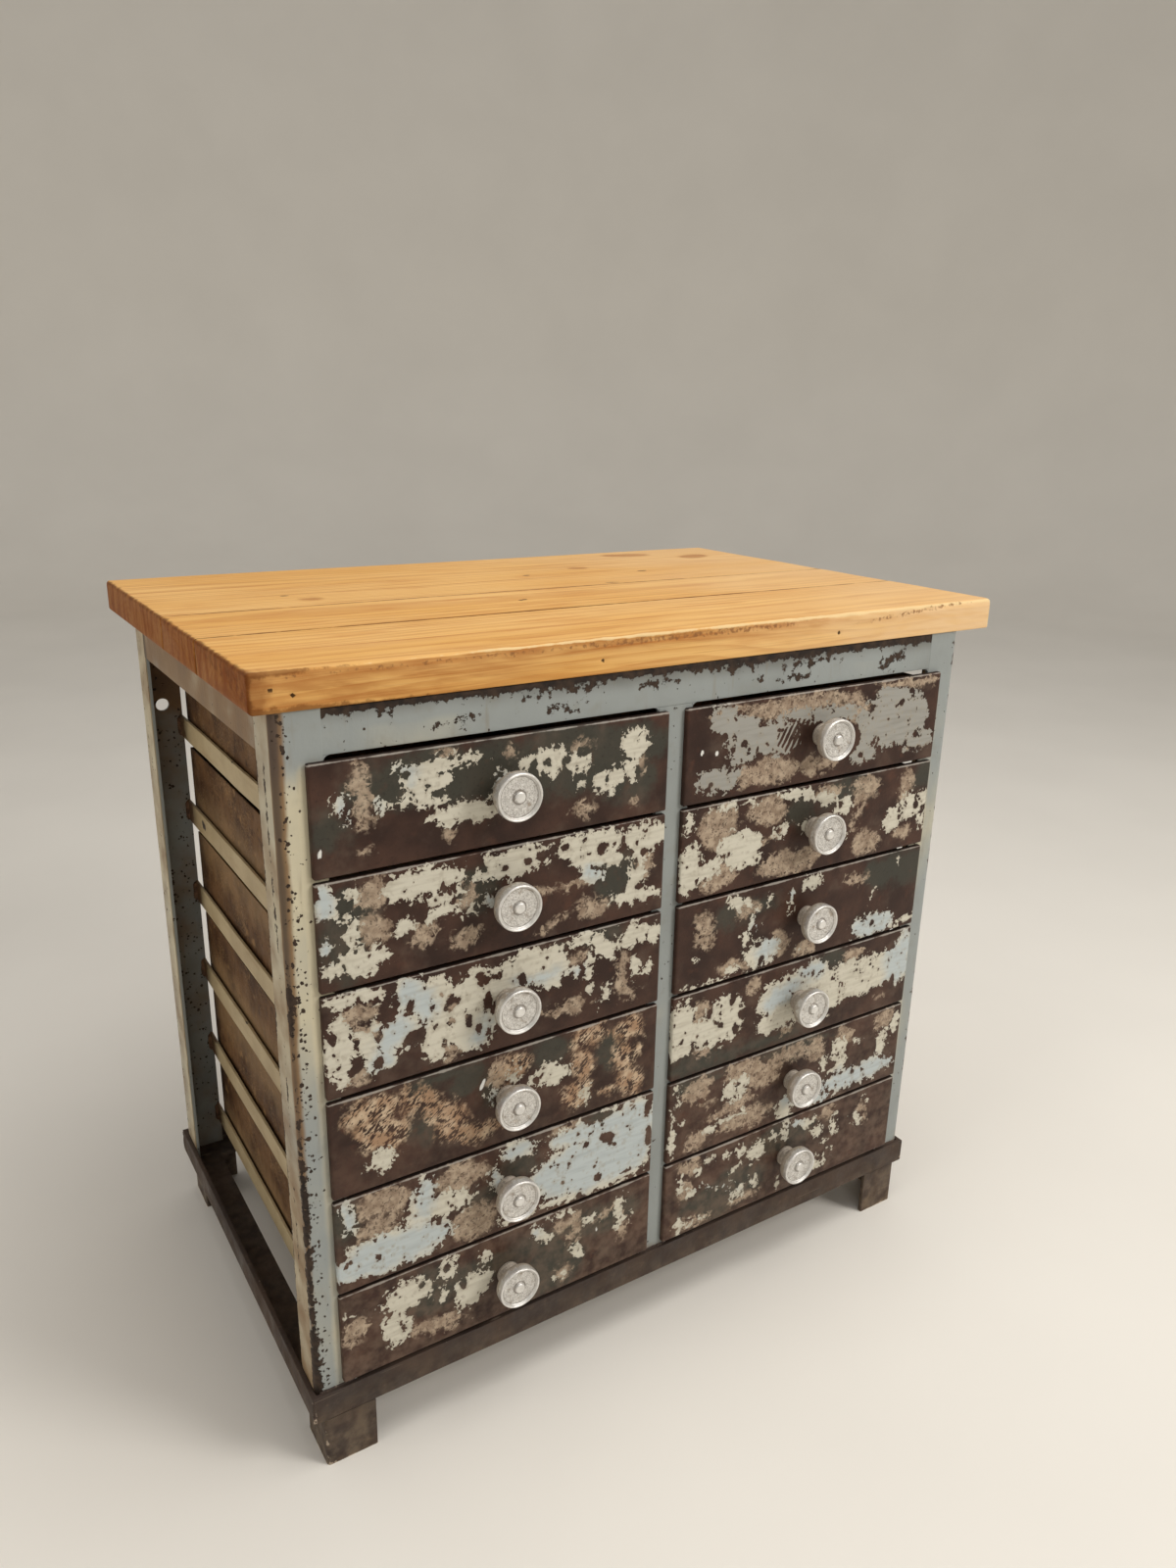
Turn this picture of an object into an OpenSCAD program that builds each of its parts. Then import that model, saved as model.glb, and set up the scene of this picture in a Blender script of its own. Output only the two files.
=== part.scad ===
// Metal chest of drawers: a welded angle-iron frame, open at its sides and back, with a plank top,
// folded sheet-steel drawers on angle runners and turned knobs.
// +Z is up and the front faces -Y. The origin is on the floor, under the middle of the whole chest.

/* [Frame] */
// Width over the corner posts
frame_w = 750; // [600:5:900]
// Depth over the corner posts
frame_d = 466; // [380:2:600]
// Leg of the corner posts
post_leg = 40; // [30:1:55]
// Wall of the corner posts
post_t = 4; // [3:0.5:6]
// Leg of the top rails
rail_leg = 38; // [30:1:50]
// Wall of the top rails
rail_t = 4; // [3:0.5:6]
// Width of the flat bars between the two columns of drawers
mullion_w = 38; // [30:1:60]
// Thickness of the flat bars between the two columns of drawers
mullion_t = 4; // [3:0.5:6]
// Inside radius of every folded angle
inside_bend = 2; // [0.5:0.5:4]
// Radius of the weld fillets in the upper corners of the drawer openings
corner_fillet = 5; // [3:1:14]
// Diameter of the hole in each rear post
wall_hole_d = 14; // [6:0.5:18]
// Drop of that hole below the top of the post
wall_hole_drop = 99; // [60:1:200]

/* [Base] */
// Height of the feet below the base ring
foot_h = 54; // [20:1:120]
// Leg of the feet
foot_leg = 50; // [40:1:70]
// Wall of the feet
foot_t = 5; // [3:0.5:8]
// Step in from the side of the base ring to the foot
foot_inset_x = 10; // [0:1:20]
// Step in from the front or rear of the base ring to the foot
foot_inset_y = 1; // [0:1:20]
// Height of the base ring's upright leg
base_h = 30; // [20:1:60]
// Width of the base ring's flat leg
base_leg = 35; // [30:1:60]
// Wall of the base ring
base_t = 5; // [3:0.5:8]

/* [Wooden top] */
// Thickness of the planks
plank_t = 32; // [26:1:50]
// Width of the front plank
front_plank_w = 147; // [100:1:170]
// Width of the middle plank
middle_plank_w = 117; // [80:1:150]
// Open joint between two planks
plank_gap = 0.8; // [0.4:0.1:2]
// Radius of the worn outer edges of the top
top_round = 5; // [2:0.5:10]
// Radius of the eased plank edges along the joints
seam_round = 1.2; // [0.5:0.1:3]
// Reach of the top past the left posts
overhang_left = 15; // [0:1:60]
// Reach of the top past the right posts
overhang_right = 45; // [0:1:60]
// Reach of the top past the front posts
overhang_front = 3; // [0:1:20]
// Reach of the top past the rear posts
overhang_back = 50; // [0:1:80]

/* [Drawers] */
// Height from one row of drawers to the next
row_pitch = 100; // [80:1:140]
// Gap between the fronts of two rows
row_gap = 4.5; // [2:0.5:8]
// Lap of a drawer front over its corner post
front_lap_post = 15; // [8:1:25]
// Lap of a drawer front over the mullion
front_lap_mullion = 9; // [5:1:14]
// Depth of the folded edge of a drawer front
front_depth = 5; // [4:0.5:10]
// Sheet of the drawer fronts
front_sheet = 1.5; // [1:0.1:2.5]
// Outside bend radius of the drawer fronts
front_bend = 2; // [1:0.5:3]
// Sheet of the trays
tray_sheet = 1.2; // [0.8:0.1:2]
// Outside bend radius along the bottom of the trays
tray_bend = 4; // [2.5:0.5:10]
// Clear space from the back of a tray to the rear posts
tray_rear_gap = 12; // [4:1:60]
// Clear space from the top of a tray to the runner above it
tray_headroom = 10.7; // [4:0.1:30]

/* [Runners] */
// Leg of the runner angles
runner_leg = 25; // [16:1:30]
// Wall of the runner angles
runner_t = 3; // [2:0.5:4]
// Clear height from the base ring to the lowest runners
runner_clear = 5; // [2:1:20]

/* [Knobs] */
// Diameter of the knob's head
knob_d = 43; // [32:1:52]
// Reach of the knob in front of the drawer front
knob_len = 27; // [20:1:40]
// Height of the knob's head along its axis
knob_head_h = 12; // [9:0.5:16]
// Diameter of the knob's neck
knob_neck_d = 17; // [12:1:24]
// Diameter of the foot of the neck
knob_foot_d = 23; // [18:1:30]
// Height of the foot of the neck
knob_foot_h = 3; // [2:0.5:5]
// Width of the raised rim
knob_rim_w = 4; // [2.5:0.5:6]
// Depth of the dished face inside the rim
knob_recess = 1.8; // [1:0.1:3]
// Diameter of the boss in the middle of the face
knob_boss_d = 9; // [6:0.5:14]
// Radius of the rounded edges of the head
knob_edge = 1.6; // [0.8:0.1:2]
// Radius of the cove under the head
knob_cove = 5; // [2:0.5:6]
// Depth of the blind hole for the knob's screw
knob_hole_depth = 15; // [10:1:20]

/* [Screws] */
// Shank of the wood screws
wood_screw_d = 5; // [4:0.5:6]
// Diameter of the wood screws' heads
wood_screw_head_d = 9.5; // [8:0.5:12]
// Shank of the knob screws
knob_screw_d = 3.5; // [3:0.1:5]
// Diameter of the knob screws' heads
knob_screw_head_d = 7.5; // [6:0.5:10]
// Height of all screw heads
screw_head_h = 3; // [2:0.5:4]
// Length of a knob screw in its knob
knob_screw_grip = 13; // [6:1:18]
// Length of a wood screw in its plank
wood_screw_grip = 22; // [12:1:24]

/* [Fits] */
// Gap between a shut drawer front and the frame
front_gap = 0.5; // [0.3:0.1:1.5]
// Side play of a tray between its two runners, on each side
tray_play = 2.5; // [1:0.1:5]
// Running gap between a tray and the runners that carry it
tray_lift = 0.3; // [0.2:0.1:0.5]
// Rise of a drawer front's lower edge over the underside of its runners
front_lift = 1; // [0:0.5:3]
// Gap between the top row of fronts and the top rail
top_gap = 2.5; // [1:0.5:8]
// Gap around each screw shank
screw_gap = 0.2; // [0.1:0.05:0.5]

/* [Hidden] */
$fn = 64;
// Overlap of a cutting shape past the face that it cuts
cut = 1;
rows = 6;
columns = ["l", "r"];

// Widths, from the openings between the posts and the mullion
opening_w = frame_w / 2 - post_leg - mullion_w / 2;
front_w = opening_w + front_lap_post + front_lap_mullion;
tray_w = opening_w - 2 * tray_play;
top_w = frame_w + overhang_left + overhang_right;
base_w = frame_w + 2 * base_t;

// Depths
top_d = overhang_front + frame_d + overhang_back;
base_d = frame_d + 2 * base_t;
whole_d = knob_len + front_depth + front_gap + frame_d + overhang_back;
back_plank_w = top_d - front_plank_w - middle_plank_w - 2 * plank_gap;

// Places along X: the left post's outer face, and what follows from the left opening
frame_x = (overhang_left - overhang_right) / 2;
post_x = -frame_w / 2;
opening_x = post_x + post_leg;
front_x = opening_x - front_lap_post;
tray_x = opening_x + tray_play;

// Places along Y: the face of the shut drawer fronts, the front and the rear of the frame
face_y = -whole_d / 2 + knob_len;
frame_y0 = face_y + front_depth + front_gap;
frame_y1 = frame_y0 + frame_d;
frame_y = (frame_y0 + frame_y1) / 2;
top_y = frame_y0 - overhang_front;
tray_y0 = face_y + front_sheet;
tray_y1 = frame_y1 - max(post_t, mullion_t) - tray_rear_gap;

// Heights, from the floor up
seat_z = foot_h + base_t;
runner_z = foot_h + base_h + runner_clear;
front_z = runner_z + front_lift;
tray_z = runner_z + runner_t + tray_lift;
front_h = row_pitch - row_gap;
tray_h = row_pitch - runner_t - tray_lift - tray_headroom;
opening_top = front_z + (rows - 1) * row_pitch + front_h + top_gap;
frame_top = opening_top + rail_leg;

// Where the side rails carry each plank: the overlap of plank and rail, and its middle
plank_y = [top_y, top_y + front_plank_w + plank_gap, top_y + front_plank_w + middle_plank_w + 2 * plank_gap];
plank_w = [front_plank_w, middle_plank_w, back_plank_w];
rail_y0 = frame_y0 + post_leg;
rail_y1 = frame_y1 - post_leg;
screw_x = post_x + (rail_t + rail_leg) / 2;
function plank_screw_y(i) = (max(plank_y[i], rail_y0) + min(plank_y[i] + plank_w[i], rail_y1)) / 2;

// Rise of a row over the lowest one; row 1 is the highest
function row_rise(row) = (rows - row) * row_pitch;
function tag(col, row) = str(columns[col], row);

PLANKS = ["front", "middle", "back"];
FIXED_NODES = [
    "top_plank_front", "top_plank_middle", "top_plank_back", "top_screws",
    "post_front_left", "post_front_right", "post_rear_left", "post_rear_right",
    "front_mullion", "rear_centre_bar",
    "top_rail_front", "top_rail_rear", "top_rail_left", "top_rail_right",
    "base_rail_front", "base_rail_rear", "base_rail_left", "base_rail_right", "feet",
    "runners_left_outer", "runners_left_inner", "runners_right_inner", "runners_right_outer",
];
DRAWER_PARTS = ["drawer_front_", "drawer_tray_", "knob_"];

PINE = [0.80, 0.55, 0.27];
FRAME_PAINT = [0.66, 0.70, 0.68];
BASE_PAINT = [0.28, 0.20, 0.17];
RUNNER_PAINT = [0.70, 0.64, 0.52];
FRONT_PAINT = [0.36, 0.28, 0.24];
TRAY_STEEL = [0.40, 0.29, 0.21];
KNOB_METAL = [0.80, 0.79, 0.78];
SCREW_STEEL = [0.55, 0.54, 0.52];

// Rectangle from the origin with four round corners
module round_rect(w, h, r) {
    translate([r, 0]) square([w - 2 * r, h]);
    translate([0, r]) square([w, h - 2 * r]);
    for (x = [r, w - r], y = [r, h - r]) translate([x, y]) circle(r);
}

// Rectangle from the origin with only its two lower corners round
module trough_section(w, h, r) {
    intersection() {
        round_rect(w, h + 2 * r, r);
        square([w, h]);
    }
}

// Folded angle: its bend at the origin, its legs along +X and +Y
module angle_section(leg, t) {
    bend = inside_bend + t;
    translate([bend, 0]) square([leg - bend, t]);
    translate([0, bend]) square([t, leg - bend]);
    difference() {
        intersection() {
            translate([bend, bend]) circle(bend);
            square(bend);
        }
        translate([bend, bend]) circle(inside_bend);
    }
}

// What the left half has, moved to the frame's middle plane, or its mirror image on the right
module on_side(col) {
    translate([frame_x, 0, 0]) {
        if (col == 0) children();
        else mirror([1, 0, 0]) children();
    }
}

// What the front half has, or its mirror image at the rear
module at_end(rear) {
    translate([0, frame_y, 0]) {
        if (rear) mirror([0, 1, 0]) translate([0, -frame_y, 0]) children();
        else translate([0, -frame_y, 0]) children();
    }
}

// An angle or flat along X or Y, from a section that is drawn as it is seen along the bar
module along_x(length) {
    rotate([90, 0, 90]) linear_extrude(length) children();
}
module along_y(length) {
    translate([0, length, 0]) rotate([90, 0, 0]) linear_extrude(length) children();
}

// One plank: the top's outer edges are worn round, the edges along the joints only eased
module plank(i) {
    w = plank_w[i];
    front_r = i == 0 ? top_round : seam_round;
    back_r = i == len(plank_w) - 1 ? top_round : seam_round;
    color(PINE) translate([-top_w / 2, plank_y[i], frame_top]) difference() {
        intersection() {
            along_x(top_w) plank_section(w, plank_t, front_r, back_r);
            along_y(w) round_rect(top_w, plank_t, top_round);
            linear_extrude(plank_t) plank_section_turned(top_w, w, front_r, back_r);
        }
        for (col = [0, 1]) translate([top_w / 2, -plank_y[i], 0]) on_side(col)
            translate([screw_x, plank_screw_y(i), -cut])
                cylinder(d = wood_screw_d + 2 * screw_gap, h = wood_screw_grip + screw_gap + cut);
    }
}

// Rectangle whose corners are rounded by one radius at its start and another at its end along X
module plank_section(w, h, r0, r1) {
    translate([r0, 0]) square([w - r0 - r1, h]);
    for (end = [[0, r0], [w, r1]]) {
        r = end[1];
        x = end[0] == 0 ? r : w - r;
        translate([min(x, end[0]), r]) square([r, h - 2 * r]);
        for (y = [r, h - r]) translate([x, y]) circle(r);
    }
}

// The same rounding seen from above, where the plank's width runs along Y
module plank_section_turned(length, w, r0, r1) {
    translate([length, 0]) rotate(90) plank_section(w, length, r0, r1);
}

// Wood screws, heads under the side rails
module top_screws() {
    color(SCREW_STEEL) for (col = [0, 1], i = [0:len(plank_w) - 1])
        on_side(col) translate([screw_x, plank_screw_y(i), frame_top - rail_t - screw_head_h]) {
            cylinder(d = wood_screw_head_d, h = screw_head_h);
            cylinder(d = wood_screw_d, h = screw_head_h + rail_t + wood_screw_grip);
        }
}

// Corner post: an angle from the base ring to the planks
module corner_post(col, rear) {
    color(FRAME_PAINT) on_side(col) at_end(rear) difference() {
        translate([post_x, frame_y0, seat_z])
            linear_extrude(frame_top - seat_z) angle_section(post_leg, post_t);
        if (rear)
            translate([post_x + post_leg / 2, frame_y0 - cut, frame_top - wall_hole_drop])
                rotate([-90, 0, 0]) cylinder(d = wall_hole_d, h = post_t + 2 * cut);
    }
}

// Flat upright bar in the middle of the front or of the rear
module centre_bar(rear) {
    color(FRAME_PAINT) at_end(rear) translate([frame_x - mullion_w / 2, frame_y0, seat_z])
        cube([mullion_w, mullion_t, opening_top - seat_z]);
}

// Weld fillet in a corner, hanging from the origin and to the right of it
module fillet_section(r) {
    difference() {
        translate([0, -r]) square(r);
        translate([r, -r]) circle(r);
    }
}

// Front or rear top rail, butted between the posts, with fillets in the corners of the openings
module cross_rail(rear) {
    length = frame_w - 2 * post_leg;
    color(FRAME_PAINT) at_end(rear) {
        translate([frame_x - length / 2, frame_y0, frame_top])
            along_x(length) mirror([0, 1]) angle_section(rail_leg, rail_t);
        for (col = [0, 1]) on_side(col) {
            translate([opening_x, frame_y0, opening_top])
                along_y(rail_t) fillet_section(corner_fillet);
            translate([-mullion_w / 2, frame_y0, opening_top])
                along_y(rail_t) mirror([1, 0]) fillet_section(corner_fillet);
        }
    }
}

// Side top rail, butted between the posts and drilled for the wood screws
module side_rail(col) {
    color(FRAME_PAINT) on_side(col) difference() {
        translate([post_x, rail_y0, frame_top])
            along_y(rail_y1 - rail_y0) mirror([0, 1]) angle_section(rail_leg, rail_t);
        for (i = [0:len(plank_w) - 1])
            translate([screw_x, plank_screw_y(i), frame_top - rail_t - cut])
                cylinder(d = wood_screw_d + 2 * screw_gap, h = rail_t + 2 * cut);
    }
}

// Plan of one leg of the base ring, mitred at both ends
module mitred_leg(length, depth) {
    polygon([
        [-length / 2, 0],
        [length / 2, 0],
        [length / 2 - depth, depth],
        [depth - length / 2, depth],
    ]);
}

// One bar of the base ring: its upright leg outside, its flat leg inwards under the posts
module base_bar(length) {
    color(BASE_PAINT) {
        linear_extrude(base_h) mitred_leg(length, base_t);
        linear_extrude(base_t) mitred_leg(length, base_leg);
    }
}

module base_cross_rail(rear) {
    at_end(rear) translate([frame_x, frame_y0 - base_t, foot_h]) base_bar(base_w);
}

module base_side_rail(col) {
    on_side(col) translate([post_x - base_t, frame_y, foot_h]) rotate(-90) base_bar(base_d);
}

// Short angles under the corners of the base ring
module feet() {
    color(BASE_PAINT) for (col = [0, 1], rear = [false, true])
        on_side(col) at_end(rear)
            translate([post_x - base_t + foot_inset_x, frame_y0 - base_t + foot_inset_y, 0])
                linear_extrude(foot_h) angle_section(foot_leg, foot_t);
}

// The runners on the post side or on the mullion side of one column
module runner_set(col, outer) {
    end_t = outer ? post_t : mullion_t;
    color(RUNNER_PAINT) on_side(col) for (row = [1:rows])
        translate([outer ? opening_x - runner_t : runner_t - mullion_w / 2, frame_y0 + end_t, 0])
            translate([0, 0, runner_z + row_rise(row)]) along_y(frame_d - 2 * end_t)
                mirror([outer ? 0 : 1, 0]) angle_section(runner_leg, runner_t);
}

// Hole for a knob's screw through the front and the tray, seen from the knob
module knob_screw_hole(col, row) {
    at_knob(col, row) translate([0, 0, -front_depth - cut])
        cylinder(d = knob_screw_d + 2 * screw_gap, h = front_depth + 2 * cut);
}

// The middle of a drawer front's face, with +Z pointing out of the chest
module at_knob(col, row) {
    on_side(col)
        translate([front_x + front_w / 2, face_y, front_z + row_rise(row) + front_h / 2])
            rotate([90, 0, 0]) children();
}

// Drawer front: a shallow folded pan whose edges lap over the frame
module drawer_front(col, row) {
    inner_w = front_w - 2 * front_sheet;
    inner_h = front_h - 2 * front_sheet;
    color(FRONT_PAINT) difference() {
        on_side(col) translate([front_x, face_y, front_z + row_rise(row)]) difference() {
            intersection() {
                cube([front_w, front_depth, front_h]);
                linear_extrude(front_h) round_rect(front_w, front_depth + 2 * front_bend, front_bend);
                along_x(front_w) round_rect(front_depth + 2 * front_bend, front_h, front_bend);
            }
            translate([front_sheet, front_sheet, front_sheet]) cube([inner_w, front_depth, inner_h]);
        }
        knob_screw_hole(col, row);
    }
}

// Tray: one folded sheet with round bends along its bottom, open at the top
module drawer_tray(col, row) {
    length = tray_y1 - tray_y0;
    inner_w = tray_w - 2 * tray_sheet;
    color(TRAY_STEEL) difference() {
        on_side(col) translate([tray_x, tray_y0, tray_z + row_rise(row)]) difference() {
            along_y(length) trough_section(tray_w, tray_h, tray_bend);
            translate([tray_sheet, tray_sheet, tray_sheet])
                along_y(length - 2 * tray_sheet) trough_section(inner_w, tray_h, tray_bend - tray_sheet);
        }
        knob_screw_hole(col, row);
    }
}

// Half section of the knob, from its foot at zero to its rim
module knob_section() {
    head_z = knob_len - knob_head_h;
    neck_r = knob_neck_d / 2;
    head_r = knob_d / 2;
    square([knob_foot_d / 2, knob_foot_h]);
    square([neck_r, head_z + cut]);
    translate([neck_r, head_z]) fillet_section(knob_cove);
    difference() {
        translate([0, head_z]) intersection() {
            translate([-head_r, 0]) round_rect(2 * head_r, knob_head_h, knob_edge);
            square([head_r, knob_head_h]);
        }
        translate([0, knob_len - knob_recess]) square([head_r - knob_rim_w, knob_recess + cut]);
    }
    translate([0, knob_len - knob_recess - cut]) intersection() {
        translate([-knob_boss_d / 2, 0]) round_rect(knob_boss_d, knob_recess + cut, knob_recess / 2);
        square([knob_boss_d / 2, knob_recess + cut]);
    }
}

// Knob and, as a solid of its own, the screw that holds it from inside the drawer
module knob(col, row) {
    wall = front_sheet + tray_sheet;
    at_knob(col, row) {
        color(KNOB_METAL) difference() {
            rotate_extrude() knob_section();
            translate([0, 0, -cut]) cylinder(d = knob_screw_d + 2 * screw_gap, h = knob_hole_depth + cut);
        }
        color(SCREW_STEEL) translate([0, 0, -wall - screw_head_h]) {
            cylinder(d = knob_screw_head_d, h = screw_head_h);
            cylinder(d = knob_screw_d, h = screw_head_h + wall + knob_screw_grip);
        }
    }
}

for (i = [0:len(PLANKS) - 1])
    plank(i);
top_screws();
corner_post(0, false);  // post_front_left
corner_post(1, false);  // post_front_right
corner_post(0, true);  // post_rear_left
corner_post(1, true);  // post_rear_right
centre_bar(false);  // front_mullion
centre_bar(true);  // rear_centre_bar
cross_rail(false);  // top_rail_front
cross_rail(true);  // top_rail_rear
side_rail(0);  // top_rail_left
side_rail(1);  // top_rail_right
base_cross_rail(false);  // base_rail_front
base_cross_rail(true);  // base_rail_rear
base_side_rail(0);  // base_rail_left
base_side_rail(1);  // base_rail_right
feet();
runner_set(0, true);  // runners_left_outer
runner_set(0, false);  // runners_left_inner
runner_set(1, false);  // runners_right_inner
runner_set(1, true);  // runners_right_outer
for (col = [0, 1], row = [1:rows]) {
    drawer_front(col, row);
    drawer_tray(col, row);
    knob(col, row);
}
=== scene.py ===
import bpy
import numpy as np
from mathutils import Matrix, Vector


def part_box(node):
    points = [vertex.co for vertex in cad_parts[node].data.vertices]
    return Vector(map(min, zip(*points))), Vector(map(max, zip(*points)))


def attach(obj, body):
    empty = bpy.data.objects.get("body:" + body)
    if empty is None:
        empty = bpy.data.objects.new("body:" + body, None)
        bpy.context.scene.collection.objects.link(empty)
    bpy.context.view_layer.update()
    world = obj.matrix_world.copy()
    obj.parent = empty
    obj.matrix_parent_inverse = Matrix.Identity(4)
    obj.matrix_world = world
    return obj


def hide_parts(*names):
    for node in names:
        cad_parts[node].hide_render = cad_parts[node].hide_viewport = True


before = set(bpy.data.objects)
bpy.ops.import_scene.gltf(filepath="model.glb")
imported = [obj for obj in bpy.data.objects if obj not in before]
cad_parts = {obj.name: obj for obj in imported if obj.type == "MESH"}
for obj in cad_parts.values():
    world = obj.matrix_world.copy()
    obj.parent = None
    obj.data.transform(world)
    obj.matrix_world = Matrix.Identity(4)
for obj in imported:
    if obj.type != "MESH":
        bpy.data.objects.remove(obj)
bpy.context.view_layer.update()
MM = 0.001

# Base ring
# Four lengths of steel angle, mitred at the corners and welded into the ring that carries the posts.
# It is brushed with a dark plum-brown paint, which has rubbed through to bright steel on the upper arris.


def lattice_noise(points, cell, seed):
    """Noise from -1 to 1: random values on the corners of cubes of side cell, smoothly blended between."""
    q = np.asarray(points) / cell
    base = np.floor(q).astype(np.int64)
    f = q - base
    f = f * f * (3 - 2 * f)
    total = np.zeros(q.shape[:-1])
    for corner in np.ndindex(2, 2, 2):
        i = base + np.array(corner)
        h = i[..., 0] * 73856093 ^ i[..., 1] * 19349663 ^ i[..., 2] * 83492791 ^ (seed + 11) * 2654435761
        h = (h ^ h >> 13) * 1274126177
        value = ((h ^ h >> 16) & 0xFFFF) / 32767.5 - 1
        total += value * np.prod(np.where(corner, f, 1 - f), axis=-1)
    return total


def rounded_outline(corners, radii, spacing):
    """A closed outline: every corner of a polygon becomes a short curve of its radius, and straight runs
    get points no further apart than spacing."""
    corners, radii = np.array(corners, float), np.array(radii, float)
    back, ahead = np.roll(corners, 1, 0) - corners, np.roll(corners, -1, 0) - corners
    back /= np.linalg.norm(back, axis=1, keepdims=True)
    ahead /= np.linalg.norm(ahead, axis=1, keepdims=True)
    reach = radii / np.tan(np.arccos(np.clip((back * ahead).sum(1), -1, 1)) / 2)
    start, end = corners + back * reach[:, None], corners + ahead * reach[:, None]
    t = np.linspace(0, 1, 6)[:, None]
    runs = []
    for a, p, b, following in zip(start, corners, end, np.roll(start, -1, 0)):
        n = max(1, int(np.ceil(np.linalg.norm(following - b) / spacing)))
        runs += [(1 - t) ** 2 * a + 2 * t * (1 - t) * p + t**2 * b]
        runs += [b + (following - b) * np.arange(1, n)[:, None] / n]
    return np.concatenate(runs)


def hoops(shape, caps=True, flip=False):
    """Faces of a skin of closed rings, one ring to each row of the shape: quads join each ring to the
    next, and caps close the two ends. Flipped, the quads face the other way."""
    k = np.arange(np.prod(shape)).reshape(shape)
    after = np.roll(k, -1, 1)
    corners = [k[:-1], k[1:], after[1:], after[:-1]] if flip else [k[:-1], after[:-1], after[1:], k[1:]]
    quads = np.stack(corners, -1).reshape(-1, 4).tolist()
    return quads + [k[0, ::-1].tolist(), k[-1].tolist()] if caps else quads


def carried(outline, origin, axes, start, end, step):
    """A bar's skin: the outline (u, v) is set along a straight path in rings, each point running from
    its own start to its own end, so that an end may be mitred. Quads and two caps close it."""
    u, v = outline.T
    rings = max(2, int(np.ceil(np.abs(end - start).max() / step)) + 1)
    s = start + (end - start) * np.linspace(0, 1, rings)[:, None]
    local = np.stack([np.broadcast_to(u, s.shape), np.broadcast_to(v, s.shape), s], -1).reshape(-1, 3)
    faces = hoops(s.shape)
    area = (u * np.roll(v, -1) - np.roll(u, -1) * v).sum()
    if area * np.linalg.det(np.array(axes, float)) < 0:
        faces = [f[::-1] for f in faces]
    return np.array(origin) + local @ np.array(axes, float), faces, local


def angle_bar(low, high, along, corner, wall, bend, mitre=False, step=8 * MM):
    """A length of angle inside a box: its outer bend runs along one edge of the box, named by the side
    (-1 low, 1 high) on the two other axes, and its two legs reach to the box's far sides. Returns
    points, faces, and each point's distance from the bend on both legs and along the bar."""
    low, high = np.array(low), np.array(high)
    a, b = [i for i in range(3) if i != along]
    legs = (high - low)[[a, b]]
    toe = wall / 5
    outline = rounded_outline(
        [(0, 0), (legs[0], 0), (legs[0], wall), (wall, wall), (wall, legs[1]), (0, legs[1])],
        [bend, toe, toe, toe, toe, toe],
        4 * MM,
    )
    origin, axes = np.where(np.arange(3) == along, low, 0.0), np.zeros((3, 3))
    for row, (axis, side) in enumerate(zip((a, b), corner)):
        origin[axis] = low[axis] if side < 0 else high[axis]
        axes[row, axis] = -side
    axes[2, along] = 1
    setback = outline[:, 0] if mitre else 0 * outline[:, 0]
    length = (high - low)[along]
    return carried(outline, origin, axes, setback, length - setback, step)


def gathered(parts):
    """Several skins as one: points one after the other, faces renumbered to match."""
    starts = np.cumsum([0] + [len(p[0]) for p in parts])
    faces = [[i + s for i in f] for p, s in zip(parts, starts) for f in p[1]]
    return np.concatenate([p[0] for p in parts]), faces, np.concatenate([p[2] for p in parts])


def dented(points, depth, size, seed, ways):
    """Points pushed to and fro, by a noise of the given size, along the axes that ways gives."""
    return points + depth * lattice_noise(points, size, seed)[:, None] * ways


def made(name, points, faces, material, crease=35, **fields):
    """A mesh object at the origin: faces shade smoothly except across bends sharper than crease degrees,
    and each field is kept on the points as a number for the material to read."""
    mesh = bpy.data.meshes.new(name)
    mesh.from_pydata(np.asarray(points).tolist(), [], faces)
    for label, values in fields.items():
        layer = mesh.attributes.new(label, "FLOAT", "POINT")
        layer.data.foreach_set("value", np.broadcast_to(values, len(mesh.vertices)).astype(np.float32))
    mesh.shade_smooth()
    mesh.set_sharp_from_angle(angle=np.radians(crease))
    mesh.materials.append(material)
    piece = bpy.data.objects.new(name, mesh)
    bpy.context.scene.collection.objects.link(piece)
    return piece


def screen(r, g, b):
    """A colour as it looks on a screen, 0 to 255, in the linear light that shaders use."""
    c = np.array([r, g, b]) / 255
    return (*np.where(c <= 0.04045, c / 12.92, ((c + 0.055) / 1.055) ** 2.4).tolist(), 1.0)


def put(tree, kind, wires=None, **settings):
    """Adds a node, sets its options, and wires or sets its inputs."""
    node = tree.nodes.new(kind)
    for key, value in settings.items():
        setattr(node, key, value)
    wire(node, wires or {})
    return node


def wire(node, wires):
    """Links a socket to the node's input of that name or number. A plain value is set there instead."""
    for key, value in wires.items():
        if isinstance(value, bpy.types.NodeSocket):
            node.id_data.links.new(value, node.inputs[key])
        else:
            node.inputs[key].default_value = value


def calc(operation, *values):
    """One step of arithmetic between sockets or numbers."""
    tree = next(v.id_data for v in values if isinstance(v, bpy.types.NodeSocket))
    return put(tree, "ShaderNodeMath", dict(enumerate(values)), operation=operation).outputs[0]


def times(value, by, plus=0.0):
    """A value times another, plus a third."""
    return calc("MULTIPLY_ADD", value, by, plus)


def step_up(value, low, high):
    """0 below low, 1 above high, with a smooth rise between."""
    wires = {"Value": value, "From Min": low, "From Max": high}
    return put(value.id_data, "ShaderNodeMapRange", wires, interpolation_type="SMOOTHSTEP").outputs[0]


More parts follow.
